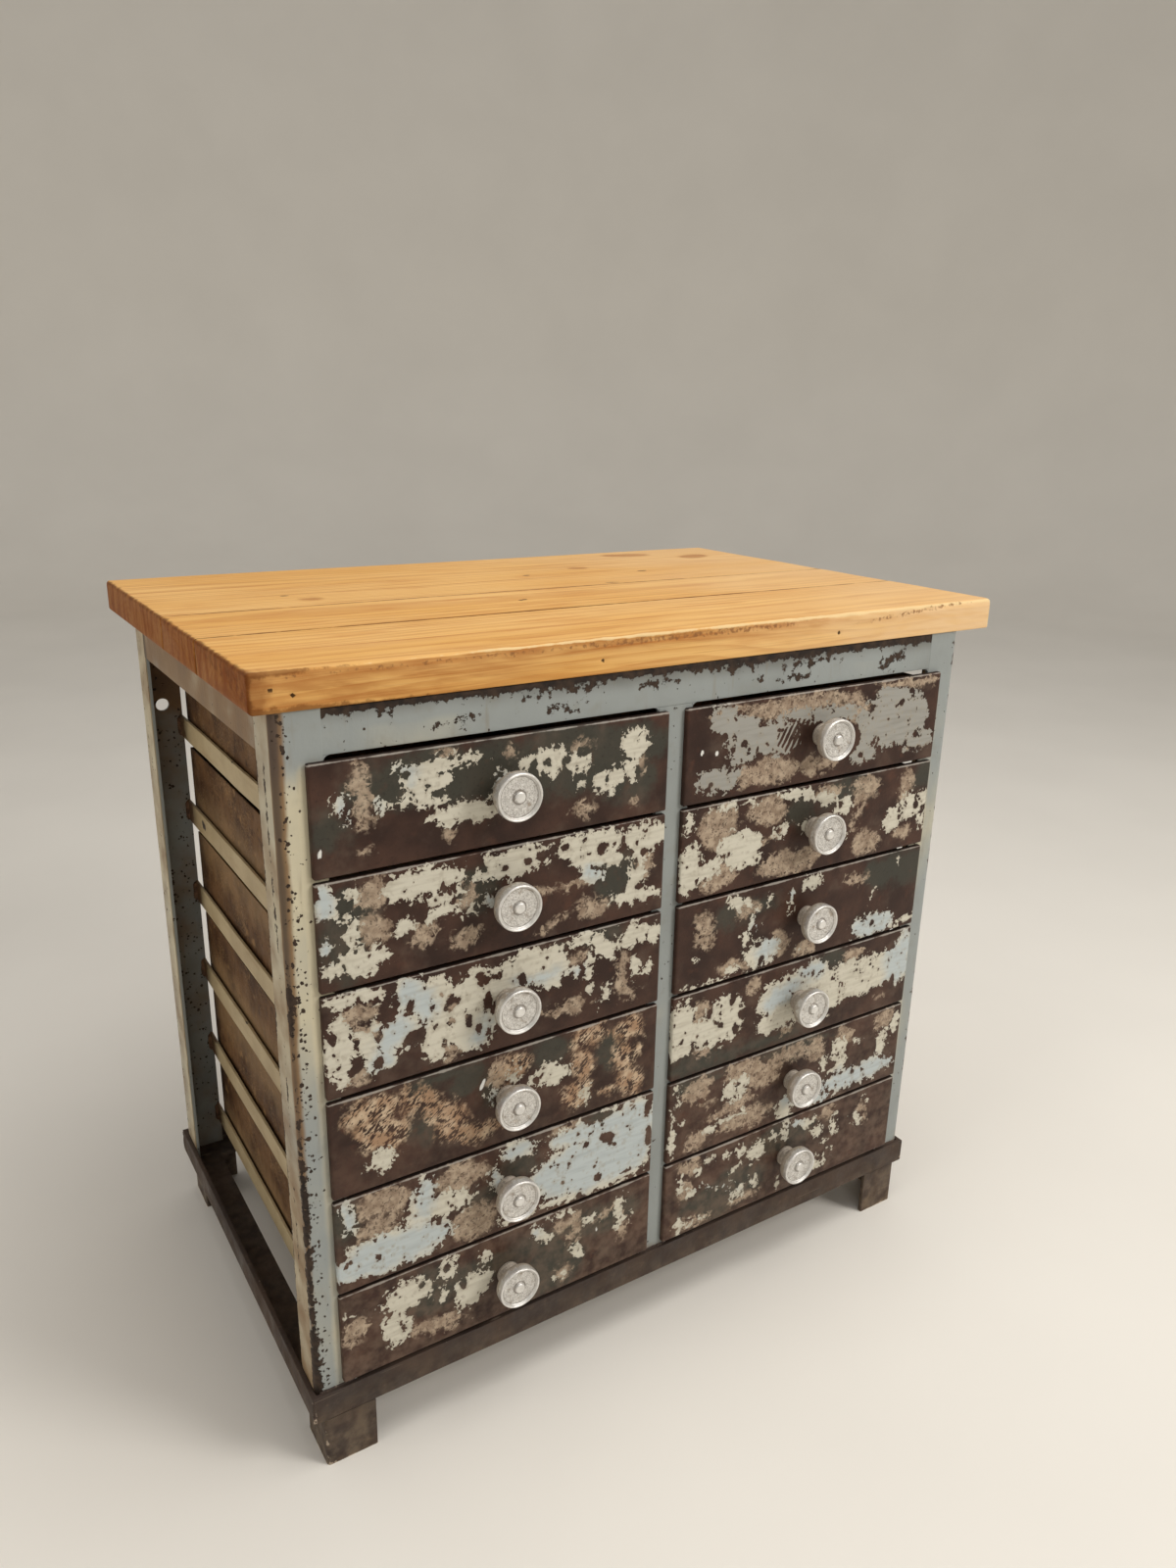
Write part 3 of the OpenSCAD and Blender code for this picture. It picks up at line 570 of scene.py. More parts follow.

# Drawer fronts
# Each is a plate of sheet steel folded back at its four edges and held over the front of a tray by the
# knob's screw. Under old flaking coats, cream and pale blue, lie tan primer smudges and dark steel,
# red-brown in places and grey-green in others.

# The coats are given drawer by drawer: (x, z, half width, half height) and for some the tilt, mm
# and degrees from the middle of the front. A hole is a spot where the paint has come off.
COATS = {
    "l1": {
        "grey": [(17, 18, 160, 28.3), (-157, -9, 10.7, 20), (123, -9, 36.7, 20)],
        "tan": [
            (-130, 28, 8, 11.3), (-126, 1, 7.3, 16.7), (-125, -31, 6, 3.3), (-52, -29, 8, 4, -20),
            (78, -29, 10.7, 4.7), (135, -31, 5, 3.3), (-56, 39, 7.3, 4.7), (5, 33, 7.3, 5.3),
            (78, 30, 10.7, 4.7), (142, 5, 7.3, 5.3, 40),
        ],
        "cream": [
            (-58, 32, 37.3, 5.3, 3), (-72, 20, 22.7, 10.7, -10), (-95, 5, 8.7, 3.3),
            (-73, 5, 18.3, 8.7, -30), (-38, -13, 35, 10, -4), (-3, -2, 13.3, 16.7), (48, 17, 31.7, 12, -12),
            (77, 13, 9.3, 8.7), (75, -3, 4.7, 7.3, -20), (104, -9, 16.7, 11.3), (133, 21, 14.7, 15.3),
            (127, -2, 5.3, 12.7, 15),
        ],
        "hole": [
            (-27, 9, 15.3, 10), (27, 8, 4.7, 4), (41, 19, 4.7, 3.3), (60, 18, 3.3, 3), (-92, 28, 4.7, 3.3),
            (-53, 8, 4, 2.7), (-70, -7, 3.3, 5.3), (60, 1, 7.3, 10),
        ],
        "blue": [(-145, 6, 6, 12, 8), (-114, 5, 3, 5.3), (-7, 11, 8.7, 6.7, 30), (-90, 31, 10, 6)],
        "white": [(-164, -26, 1.7, 4.3, -8)],
    },
    "l2": {
        "grey": [(-147, -2, 23.3, 36.7), (-22, 18, 16.7, 20), (113, -2, 20, 20)],
        "tan": [
            (-123, 30, 14, 12.7), (-122, 1, 15.3, 14), (-77, -15, 10.7, 13.3), (-40, -27, 14, 9.3),
            (57, -1, 26.7, 3, 3), (88, -28, 17.3, 9.3), (-37, 10, 8.7, 12), (60, -31, 20, 2.7, 25),
            (147, 1, 8.7, 8.7),
        ],
        "cream": [
            (-77, 31, 38.3, 13.3), (-55, 15, 17.3, 8), (7, 32, 38.3, 13.3), (87, 33, 41.7, 12.7),
            (93, 17, 30, 8, -8), (148, 30, 24, 13.3), (137, -7, 9.3, 26.7, -6), (142, -28, 28.3, 5, -4),
            (-134, -26, 20.7, 14), (-141, 1, 7.3, 15.3), (-160, -29, 10, 7.3), (-95, -5, 8, 5.3),
            (-60, 1, 16.7, 6, 10), (-33, -5, 7.3, 4.7), (-142, 35, 8, 6),
        ],
        "hole": [
            (37, 33, 8.3, 5.7), (99, 28, 5.3, 6), (22, 30, 4.7, 3.3), (-21, 33, 4, 6.7, 20),
            (124, 25, 2.3, 13.3, 12), (60, 36, 4, 3.3), (77, 23, 4.7, 3), (-60, 26, 2.7, 4.7),
            (63, 20, 5.3, 3.3), (0, 28, 3, 2.3), (137, 4, 4.7, 8), (142, -19, 6.7, 4),
            (-130, -15, 3.3, 4.7),
        ],
        "blue": [(-163, 29, 8.7, 16.7), (-17, 2, 4, 7.3, 10), (92, 5, 13.3, 7.3, -10), (-163, -7, 3, 8)],
    },
    "l3": {
        "grey": [(50, 38, 13.3, 4.7), (103, 40, 16.7, 6.7)],
        "tan": [
            (-140, 26, 18.3, 10.7), (-132, 6, 11.7, 8.7), (-62, 25, 10.7, 6.7), (-52, 1, 6.7, 6.7),
            (70, -25, 20.7, 6.7, 8), (125, -9, 8, 23.3), (75, 25, 8.7, 7.3), (-143, -36, 12, 4.7),
            (-58, -33, 15.3, 7.3), (130, -27, 13.3, 4.7, -25), (43, -24, 13.3, 2.7, -10),
        ],
        "cream": [
            (-158, -5, 11.3, 31.7), (-140, 41, 26.7, 6), (-130, -5, 10, 20), (-67, 1, 19.3, 40),
            (-27, 18, 26, 20.7), (-37, -17, 25, 19.3), (28, 26, 35, 18.7), (47, 17, 17.3, 16.7),
            (78, 41, 15.3, 4.7), (103, 29, 17.3, 7.3, -42), (138, 33, 18.3, 11.3, 10),
            (140, -1, 4, 8.7, -12), (156, -8, 2.3, 4.3), (107, -21, 2, 7.3, -10), (88, 11, 4.7, 10.7),
            (163, 31, 8.7, 8.7), (87, -13, 3, 4),
        ],
        "hole": [
            (-89, -11, 12, 8.3), (-88, -24, 5.3, 6), (-24, 28, 6, 9.3, 25), (-13, 27, 7.3, 3.3, -20),
            (-37, -10, 4, 7.3), (-106, 28, 3.3, 8.7), (-93, 21, 4, 6.7), (-138, 20, 8.7, 14.7, 30),
            (-53, 11, 10, 5.3, 35), (-123, 1, 5.3, 4), (-163, 8, 4, 4.7), (-70, -7, 3.3, 4),
            (-49, 41, 3.3, 6.7), (17, 16, 3.3, 6), (-123, -26, 5.3, 6), (-18, 5, 4.7, 10), (-28, -19, 4, 6),
        ],
        "blue": [
            (-93, 30, 14.7, 16), (-107, -2, 18.7, 15.3, 30), (-120, -26, 13.3, 8.7), (-26, -25, 10, 13.3),
            (33, 13, 20.7, 4.7), (73, 11, 6, 4), (-78, 15, 10, 16.7),
        ],
    },
    "l4": {
        "grey": [
            (-37, 35, 20, 14.7), (47, 33, 23.3, 14.7), (-18, 15, 10, 16.7), (-87, -4, 11.3, 11.3),
            (113, 8, 10, 20), (-60, 41, 40, 6.7),
        ],
        "speck": [
            (-132, 31, 26.7, 15), (-123, 5, 25, 16.7, -20), (-87, 25, 20.7, 13.3, -20),
            (-60, 1, 24, 14, -38), (-47, -20, 26.7, 11.3, -20), (-23, -28, 20, 6), (8, 28, 16.7, 15.3),
            (90, 35, 20, 11.3), (85, 8, 13.3, 16.7), (78, -23, 20.7, 12.7), (137, 31, 16.7, 15),
            (132, 1, 14, 18.3), (140, -30, 15.3, 14, -30), (110, -30, 10, 4.7),
        ],
        "tan": [(-10, 28, 8.7, 16.7)],
        "cream": [(47, 7, 20, 11.3, -8), (87, -28, 6, 12), (-125, -25, 13.3, 12), (10, 23, 7.3, 11.3)],
        "hole": [(32, 7, 4.7, 4.7), (37, 18, 6.7, 2.7)],
        "blue": [(-16, 6, 3, 6.3)],
        "white": [(-25, 21, 1.7, 6.3, -25)],
    },
    "l5": {
        "grey": [(-162, 25, 16.7, 23.3), (-27, -2, 13.3, 10), (107, 41, 20, 6.7), (13, 18, 20, 13.3)],
        "tan": [
            (-123, 31, 26.7, 14.7), (-132, 8, 17.3, 12), (-48, 30, 26, 15.3), (-38, -24, 25.3, 19.3),
            (-113, -20, 8, 9.3), (63, 41, 16.7, 5.3), (147, 41, 12, 4.7), (50, -15, 10, 4.7),
        ],
        "cream": [
            (-67, 6, 31.7, 11.3), (47, -7, 23.3, 14.7), (153, -26, 15.3, 10.7), (17, -39, 20, 6.7),
            (97, -39, 60, 4.7), (-90, 11, 13.3, 20),
        ],
        "blue": [
            (-120, -23, 61.7, 19.3), (-85, 22, 10, 20), (101, -9, 71.7, 30.7), (113, 29, 63.3, 12.7),
            (12, 36, 15.3, 9.3), (-158, 28, 4.7, 14.7, 10), (-10, 11, 5.3, 13.3, 15), (147, 15, 26.7, 30),
        ],
        "hole": [
            (-28, -2, 12, 8), (10, 17, 16.7, 11.3), (107, 42, 15.3, 4.7), (40, 15, 8.7, 4.3),
            (-70, -47, 140, 3), (165, -2, 5.3, 12), (90, 15, 4, 4), (113, 15, 9.3, 4.7, -15),
            (53, -15, 2.7, 2), (-107, 12, 10, 4.7), (80, 30, 2.7, 3.3), (162, 30, 4, 10), (43, 25, 7.3, 4),
        ],
    },
    "l6": {
        "grey": [(43, 18, 120, 20), (43, -15, 50, 26.7), (-77, 15, 36.7, 23.3)],
        "tan": [
            (-80, -25, 24, 9.3, -10), (68, 30, 15.3, 6.7), (75, 18, 4, 12), (-67, -28, 20, 4, -8),
            (135, -2, 6, 16.7), (62, -28, 10, 6.7), (-157, 5, 13.3, 13.3), (117, 25, 16.7, 2.7, 18),
        ],
        "cream": [
            (-105, 21, 25.3, 16), (-115, -9, 14.7, 20), (-63, 33, 9.3, 10.7), (-37, 1, 19.3, 17.3),
            (-25, 28, 4.7, 10), (-70, 5, 4, 8), (41, 25, 12, 6, -15), (99, 23, 8.3, 3),
            (132, 21, 7.3, 17.3), (135, 5, 9.3, 4.7), (80, -11, 4.7, 8.7, 30), (60, -29, 8, 4.7),
            (-159, 23, 6, 3.7), (60, 41, 10, 2.7), (-43, -14, 14.7, 7.3),
        ],
        "hole": [
            (-47, 8, 5, 8), (-76, 9, 5.3, 9.3), (-90, 26, 4.7, 4), (-64, 34, 4, 4), (-102, 1, 4.7, 4.7),
            (-110, -15, 4, 5.3), (-117, 28, 2.7, 2.3),
        ],
        "blue": [(33, 35, 4.7, 6)],
        "white": [(104, 7, 1.3, 3.3)],
    },
    "r1": {
        "tan": [
            (-27, 35, 71.7, 10), (-67, -29, 38.3, 13.3), (2, -31, 24, 8.7), (-117, 41, 20, 4.7),
            (43, 25, 20, 13.3), (127, 41, 43.3, 4), (147, -27, 20, 6),
        ],
        "ash": [
            (102, 6, 52.7, 31.7), (-120, 31, 26, 12.7, -25), (-97, 8, 26.7, 23.3), (-130, -27, 25, 11.7),
            (-60, 5, 31.7, 17.3), (-3, 23, 50, 8, -5), (63, -27, 17.3, 8), (148, -25, 22, 7.3),
        ],
        "hole": [
            (-133, 39, 3.7, 3), (-101, 6, 4, 3.3), (-65, -30, 4, 3.7), (-137, -31, 3.7, 3.3),
            (60, 38, 3.7, 3.3), (60, -29, 3.7, 3), (96, 5, 3, 2.7), (113, 21, 4.7, 4), (130, -31, 3.3, 3),
            (43, 35, 20, 2.3, -18), (-3, 30, 13.3, 2, -18), (63, 21, 8.7, 3.3, -12), (-3, -2, 14.7, 15.3),
            (-83, -14, 30, 2.3, 8), (37, -9, 20, 20),
        ],
        "scrape": [(-28, 3, 32, 17)],
        "white": [(-151, 3, 1.7, 2.7), (-133, 0, 2, 3)],
    },
    "r2": {
        "grey": [(-22, 23, 20, 16.7), (47, 35, 40, 13.3), (163, 35, 20, 13.3)],
        "tan": [
            (-127, 25, 24, 22), (-63, 31, 25.3, 15.3), (-123, -29, 20.7, 15.3), (-27, -32, 44, 12),
            (72, 31, 18.7, 15.3), (80, -32, 20.7, 12), (133, 25, 10.7, 18), (135, -29, 11.3, 8),
            (-60, -1, 20, 3.3, 12), (60, -1, 4.7, 10, -35), (17, 35, 20, 8),
        ],
        "cream": [
            (-158, -15, 14, 26.7), (-133, -20, 15.3, 11.3), (-97, 1, 27.3, 14.7), (-92, -15, 23.3, 12.7),
            (-45, 4, 12, 8), (-27, 41, 23.3, 5.3, -5), (10, 32, 30.7, 8, -15), (41, 19, 12, 11.3),
            (147, 1, 26, 16.7, 12), (120, -12, 18.7, 14, 15), (163, -19, 8, 10), (-107, 43, 33.3, 3),
            (-13, 5, 10, 7.3, 40), (43, -19, 8, 6), (-162, 31, 6.7, 12),
        ],
        "hole": [
            (-23, 23, 11.3, 12), (37, 21, 4.3, 4.3), (152, -2, 4, 4.3), (-25, -2, 9.3, 9.3),
            (-147, -2, 3.3, 4.7), (-117, -9, 4.7, 3), (-70, 28, 3.3, 4), (-28, -32, 3, 2.7),
            (5, -30, 3, 2.7), (133, 25, 3, 3), (123, 8, 10, 3.3, 30), (10, 41, 13.3, 3, -10),
        ],
    },
    "r3": {
        "grey": [(130, 28, 43.3, 20), (-87, 28, 40, 13.3)],
        "tan": [
            (-137, 25, 12, 12), (-135, 4, 12, 8), (73, 27, 14, 4.7, -15), (-37, -25, 15.3, 13.3),
            (2, -37, 13.3, 10), (-80, 28, 16.7, 8.7), (-93, -35, 20, 6.7),
        ],
        "cream": [
            (-90, 35, 19.3, 8, -25), (-72, 11, 5, 14, -25), (-82, -7, 4, 12), (-60, -28, 25.3, 15.3),
            (-23, 20, 4, 12.7, -12), (7, 38, 13.3, 9.3), (-93, -39, 13.3, 4.7), (158, -39, 20, 5.3),
            (-52, 31, 2, 5.3), (103, 10, 1.7, 2.3), (96, -2, 1.3, 1.7), (-147, -15, 2, 1.7),
            (-120, -46, 36.7, 1.7), (133, 35, 1.3, 1.7), (-10, -35, 4, 4.7),
        ],
        "hole": [(103, -32, 4.7, 4), (-63, -19, 4.7, 4), (-87, 28, 4.7, 3.3), (-57, -35, 4, 2.7)],
        "blue": [(103, -35, 35, 15.3), (-53, -27, 14.7, 13.3), (-22, 31, 7.3, 4), (-67, 6, 4.7, 8)],
    },
    "r4": {
        "grey": [(-87, -38, 93.3, 10), (43, 38, 20, 6.7)],
        "tan": [
            (-135, 26, 10.7, 9.3), (-63, 35, 8.7, 9.3), (-17, -32, 7.3, 6), (-128, -24, 8.7, 6.7),
            (127, -32, 7.3, 4.7), (-140, 8, 10, 10), (80, 35, 16.7, 6.7),
        ],
        "cream": [
            (-158, 8, 18.7, 32.7), (-105, 5, 28.7, 27.3), (-133, 1, 15.3, 18.7), (83, 4, 50, 25.3, 4),
            (37, -2, 30, 30), (-13, 9, 44, 25), (-30, -17, 26.7, 11.3), (130, 5, 26.7, 20, 10),
        ],
        "hole": [
            (-73, 5, 12.7, 7.3, -5), (-123, 21, 5.3, 9.3), (-93, 28, 4.7, 8.7), (-107, -1, 5.3, 2),
            (-80, 16, 4, 3.3), (97, 41, 50, 10, 6), (-160, -29, 16.7, 5.3), (-87, -10, 4.7, 6),
            (20, 28, 1.7, 4.7), (147, -15, 4.7, 10), (-60, -27, 4.7, 6), (30, -30, 40, 4.7, 4),
            (120, -24, 20, 4.7, 8),
        ],
        "blue": [(-22, 14, 28, 12, 20), (152, 6, 22, 26), (163, 28, 13.3, 18), (17, 31, 20, 11.3)],
    },
    "r5": {
        "grey": [(-130, 38, 40, 10), (3, 41, 53.3, 6.7)],
        "tan": [
            (-130, 30, 17.3, 14), (-70, 33, 26.7, 13.3), (0, 35, 20, 12), (-132, -32, 15.3, 12),
            (-63, -27, 37.3, 11.3), (80, 31, 15.3, 12), (143, 35, 18.7, 11.3), (-40, 21, 26.7, 13.3, 20),
            (-90, -7, 30, 4.7, 12), (33, 28, 13.3, 13.3), (-117, 11, 10, 6.7),
        ],
        "cream": [
            (-80, 16, 19.3, 14.7, 20), (70, 8, 16.7, 23.3), (-3, -34, 18.7, 14), (140, 4, 11.3, 20),
            (-157, 21, 5.3, 4.7), (-154, -1, 5.3, 4), (-165, -15, 4, 30.7), (-87, -20, 20, 5.3),
            (-112, -24, 10, 4.7), (100, 18, 8.7, 4.7, -30), (50, 5, 6.7, 8.7), (160, 28, 6.7, 20),
            (-163, 40, 8, 6),
        ],
        "hole": [
            (-13, 15, 26.7, 15.3), (-42, -2, 30, 14.7), (50, 23, 11.3, 8), (117, 5, 16.7, 16.7),
            (113, 38, 12, 11.3), (-2, 37, 3.3, 3), (60, -2, 10, 6), (77, -17, 5.3, 2.7),
            (97, -23, 3.3, 4.7),
        ],
        "blue": [(103, -27, 63.3, 14.7), (43, -39, 20, 8), (3, -24, 20, 6.7)],
    },
    "r6": {
        "grey": [(-87, -15, 60, 23.3), (-3, 28, 53.3, 16.7)],
        "tan": [
            (-137, 35, 15.3, 9.3), (60, 35, 12, 7.3), (-143, 11, 6.7, 13.3), (125, 8, 4.7, 6.7),
            (-60, -34, 20, 4.7), (-130, -37, 22, 6), (117, 21, 8, 6.7),
        ],
        "cream": [
            (-148, 15, 3.7, 15.3), (-133, 1, 10, 6), (-112, 34, 7.3, 4.3), (-87, 33, 4.3, 3),
            (-67, 33, 7.3, 10.7), (-45, 21, 14, 13.3, -20), (-23, 31, 10, 6.7), (-3, 33, 6.7, 11.3),
            (32, 33, 12.7, 7.3, -20), (47, 16, 12, 8.7, -30), (74, 15, 5.3, 16.7), (110, 13, 4.7, 11.3, 25),
            (127, 32, 3.3, 8, 20), (57, -29, 10, 8, -30), (70, -17, 2.3, 8.7), (-67, -24, 10.7, 8, 30),
            (-150, -37, 3.3, 13.3), (-70, 12, 8, 4.7), (-47, -16, 4, 7.3, 30), (-108, 0, 2.3, 3),
            (60, -2, 4, 4), (-10, -32, 2, 5.3), (-127, -37, 14.7, 2.7), (-125, 28, 6.7, 4),
        ],
        "hole": [
            (-67, 37, 3.3, 3), (37, 35, 3.3, 3), (-137, 35, 4, 4), (50, 21, 3.3, 2.7), (-20, 27, 2.7, 2.7),
        ],
        "blue": [(13, 36, 8.7, 7.3), (-95, -5, 20, 2.7, -20)],
    },
}
COAT_KINDS = ("grey", "tan", "speck", "ash", "cream", "blue", "white", "hole", "scrape")
# how much further than drawn each drawer's coats have been eaten away, mm
EATEN = {
    "l1": 2.0, "l2": 1.5, "l3": 0.5, "l4": 1.0, "l5": 0.0, "l6": 2.0,
    "r1": 1.0, "r2": 2.5, "r3": 2.5, "r4": 0.5, "r5": 3.0, "r6": 2.5,
}
FRONT_SHEET, FRONT_BEND = 1.5 * MM, 2 * MM
# the fronts hang a little lower than their solids, and those of the top row end a little lower too
HANGS_LOW, TOP_ROW_SHORT = (0, 0, 1.2 * MM), (0, 0, 1.2 * MM)


def coat_field(x, z, patches):
    """Millimetres inside the nearest rim of a union of tilted ellipses: k0 (1 - k0) / k1, with k0 the
    point's radius in units of the half axes and k1 its radius in units of their squares."""
    if not patches:
        return np.full(x.shape, -60.0)
    cx, cz, a, b, tilt = np.array([(*patch, 0)[:5] for patch in patches], float).T
    c, s = np.cos(np.radians(tilt)), np.sin(np.radians(tilt))
    dx, dz = x[:, None] - cx, z[:, None] - cz
    along, across = dx * c + dz * s, dz * c - dx * s
    k0 = np.hypot(along / a, across / b)
    k1 = np.hypot(along / a**2, across / b**2)
    return (k0 * (1 - k0) / np.maximum(k1, 1e-6)).max(1)


def folded_front(low, high, seed):
    """A folded plate: a grid on the flat sheet, whose points past the flat middle are laid round the
    bend. How far past (the larger overshoot of x and z) sets the turn of the bend and then the depth of
    the return, and the direction of the overshoot says which way it lies. Outer and inner skins are
    joined at the returns' edges."""
    low, high = np.array(low), np.array(high)
    middle, half = (low + high) / 2, (high - low) / 2
    turn = FRONT_BEND * np.pi / 2
    returns = turn + (high[1] - low[1] - FRONT_BEND) * np.array([0.5, 1])
    past = np.concatenate([turn * np.array([0.25, 0.5, 0.75, 1]), returns])
    core = half[[0, 2]] - FRONT_BEND
    lines = []
    for reach in core:
        flat = np.linspace(-reach, reach, int(2 * reach / (2.4 * MM)) + 1)
        lines.append(np.concatenate([-reach - past[::-1], flat, reach + past]))
    a, b = np.meshgrid(lines[0], lines[1], indexing="ij")
    ea, eb = a - np.clip(a, -core[0], core[0]), b - np.clip(b, -core[1], core[1])
    over_by, length = np.maximum(np.abs(ea), np.abs(eb)), np.maximum(np.hypot(ea, eb), 1e-9)
    angle = np.minimum(over_by / FRONT_BEND, np.pi / 2)
    depth = np.maximum(over_by - turn, 0)
    skins = []
    for inset in (0.0, FRONT_SHEET):
        radius = FRONT_BEND - inset
        x = middle[0] + a - ea + ea / length * radius * np.sin(angle)
        z = middle[2] + b - eb + eb / length * radius * np.sin(angle)
        y = low[1] + inset + radius * (1 - np.cos(angle)) + depth
        skins.append(np.stack([x, y, z], -1).reshape(-1, 3))
    k = np.arange(a.size).reshape(a.shape)
    outer = np.stack([k[:-1, :-1], k[1:, :-1], k[1:, 1:], k[:-1, 1:]], -1).reshape(-1, 4)
    edge = np.concatenate([k[:-1, 0], k[-1, :-1], k[:0:-1, -1], k[0, :0:-1]])
    rim = np.stack([edge, edge + a.size, np.roll(edge, -1) + a.size, np.roll(edge, -1)], -1)
    faces = np.concatenate([outer, outer[:, ::-1] + a.size, rim])
    points = np.concatenate(skins)
    wave = 0.35 * lattice_noise(points, 90 * MM, seed) + 0.12 * lattice_noise(points, 24 * MM, seed)
    points[:, 1] += MM * np.clip(wave, -0.1, 0.5)
    # the inner skin was never painted, so its coats are looked up far away
    flat_x, flat_z = np.concatenate([a.ravel() / MM, np.full(a.size, 900.0)]), np.tile(b.ravel() / MM, 2)
    return points, faces.tolist(), flat_x, flat_z, (core[1] + turn / 2) / MM


def flakes(coords, size, reach):
    """Paint comes away in flakes: one random number from -reach to reach for each cell of about size."""
    pick, _ = cells(coords, size)
    return times(pick, 2 * reach, -reach)


front_layers, coords = blank("front_layers")
place = xyz(coords)
colour = over(step_up(grain(coords, 40 * MM, 4.0), -0.8, 0.9), (50, 34, 28), (76, 53, 43))
grey = ragged(coords, field(coords, "grey"), 9.0, 45 * MM, 9.0)
colour = over(grey, colour, (63, 64, 56), 0.8)
mottle = step_up(grain(coords, 3.2 * MM, 4.0), 0.1, 1.3)
colour = over(mottle, colour, (38, 29, 25), 0.5)
ruddy = step_up(grain(coords, 14 * MM, 4.0), 0.35, 1.3)
colour = over(ruddy, colour, (98, 62, 46), 0.45)
faded = step_up(grain(coords, 26 * MM, 6.0), 0.1, 1.2)
colour = over(faded, colour, (104, 88, 76), 0.45)
dust = times(step_up(place["Z"], 0.45, 0.08), step_up(grain(coords, 9 * MM, 5.0), -0.8, 0.9))
colour = over(dust, colour, (136, 114, 96), 0.35)
wires = {"Vector": coords, "Scale": 1 / (6 * MM), "Detail": 2.0}
twist = put(coords.id_data, "ShaderNodeTexNoise", wires).outputs["Color"]
wires = {0: twist, 1: (4 * MM,) * 3, 2: coords}
bent = put(coords.id_data, "ShaderNodeVectorMath", wires, operation="MULTIPLY_ADD").outputs[0]
chipped = calc("ADD", flakes(bent, 7 * MM, 3.6), flakes(bent, 3 * MM, 2.4))
tan = times(grain(coords, 16 * MM, 4.0), 5.0, calc("ADD", field(coords, "tan"), chipped))
speckle = times(grain(coords, 6 * MM, 4.0), 0.9, grain(coords, 2 * MM, 3.0))
speckle = step_up(speckle, 0.0, 1.0)
tone = over(step_up(grain(coords, 7 * MM), -0.8, 0.8), (150, 130, 110), (192, 173, 150))
tan = times(step_up(tan, -3.0, 3.0), times(speckle, -0.65, 0.84))
colour = over(tan, colour, tone)
rising = times(place["X"], 0.77, times(place["Z"], 0.64))
falling = times(place["Z"], 0.77, times(place["X"], -0.64))
slanted = put(coords.id_data, "ShaderNodeCombineXYZ", {0: rising, 2: falling}).outputs[0]
raked = times(grain(coords, 10 * MM, 3.0), 0.7, grain(slanted, 2 * MM, 3.0, (2.6, 1, 1)))
raked = step_up(raked, -0.4, 0.2)
speck = times(ragged(coords, field(coords, "speck"), 6.0, 18 * MM, 6.0), raked)
tone = over(step_up(grain(coords, 12 * MM), -0.5, 0.9), (168, 136, 107), (210, 188, 160))
colour = over(speck, colour, tone, 0.9)
# paint that is left keeps to ridges between rounded bays, which hang a little longer than they are wide
bays = times(grain(coords, 2 * MM, 2.0), 1.2)
for reach, size in ((5.0, 17 * MM), (2.8, 6 * MM)):
    fold = calc("ABSOLUTE", grain(coords, size, 1.0, (1, 1, 1.4)))
    bays = calc("ADD", bays, times(fold, -1.25 * reach, 0.5 * reach))
pit = calc("MAXIMUM", pits(bent, 11 * MM, 6.5, 11.0, 3.4), pits(bent, 5 * MM, 5.0, 5.0, 3.6))
gone = calc("MAXIMUM", times(grain(coords, 7 * MM), 0.8, field(coords, "hole")), pit)
left = calc("SUBTRACT", times(bays, 0.6, -1.0), gone)
# scraped stripes: a wave across their slope, kept inside one oval
slope = times(place["X"], 0.88, times(place["Z"], -0.47))
stripe = calc("SINE", times(grain(coords, 9 * MM), 0.6, times(slope, 1050.0)))
scrape = times(grain(coords, 8 * MM), 4.0, field(coords, "scrape"))
scrape = calc("MINIMUM", times(scrape, 0.25, times(stripe, 4.0)), scrape)
left = calc("MINIMUM", left, times(scrape, -1.0))
streak = step_up(grain(coords, 4 * MM, 3.0, (8, 1, 1)), -0.4, 1.2)
tinted = step_up(times(grain(coords, 14 * MM, 4.0), 7.0, field(coords, "blue")), -9, 9)
light = over(tinted, (206, 201, 185), (186, 194, 194))
dark = over(tinted, (176, 169, 152), (164, 171, 172))
ash = over(streak, (156, 154, 147), (138, 135, 127), 0.7)
coats = 0.0
pale = calc("MAXIMUM", field(coords, "cream"), field(coords, "blue"))
for inside, tone in ((field(coords, "ash"), ash), (pale, over(streak, light, dark, 0.7))):
    inside = calc("ADD", calc("MINIMUM", inside, 7.0), calc("ADD", bays, chipped))
    inside = calc("MINIMUM", calc("SUBTRACT", inside, field(coords, "eaten")), left)
    crumbs = step_up(times(grain(coords, 2.6 * MM, 2.0), 6.0, inside), 1.0, 2.4)
    colour = over(crumbs, colour, (150, 134, 114), 0.55)
    held = step_up(calc("ADD", inside, 0.8), -0.35, 0.35)
    thin = times(step_up(inside, 2.4, -0.4), 0.4)
    colour = over(held, colour, over(thin, tone, (158, 148, 130)))
    coats = calc("MAXIMUM", coats, held)
drip = ragged(coords, field(coords, "white"), 0.5, 16 * MM)
colour = over(drip, colour, (222, 221, 215))
# painted shade on the folded-back top return of each front
return_shade = step_up(field(coords, "top_edge"), -0.4, -1.6)
colour = over(return_shade, colour, (36, 29, 26), 0.9)
# a painted highlight along the top bend, broken by noise
edge = calc("SUBTRACT", 0.6, calc("ABSOLUTE", calc("SUBTRACT", field(coords, "top_edge"), 0.5)))
bend_highlight = ragged(coords, edge, 0.7, 30 * MM)
colour = over(bend_highlight, colour, (180, 174, 164), 0.55)
height = times(grain(coords, 2.4 * MM, 3.0), 0.14, coats)
finish(front_layers, colour, times(coats, 0.02, 0.47), height, 0.3 * MM, Specular_IOR_Level=0.18)
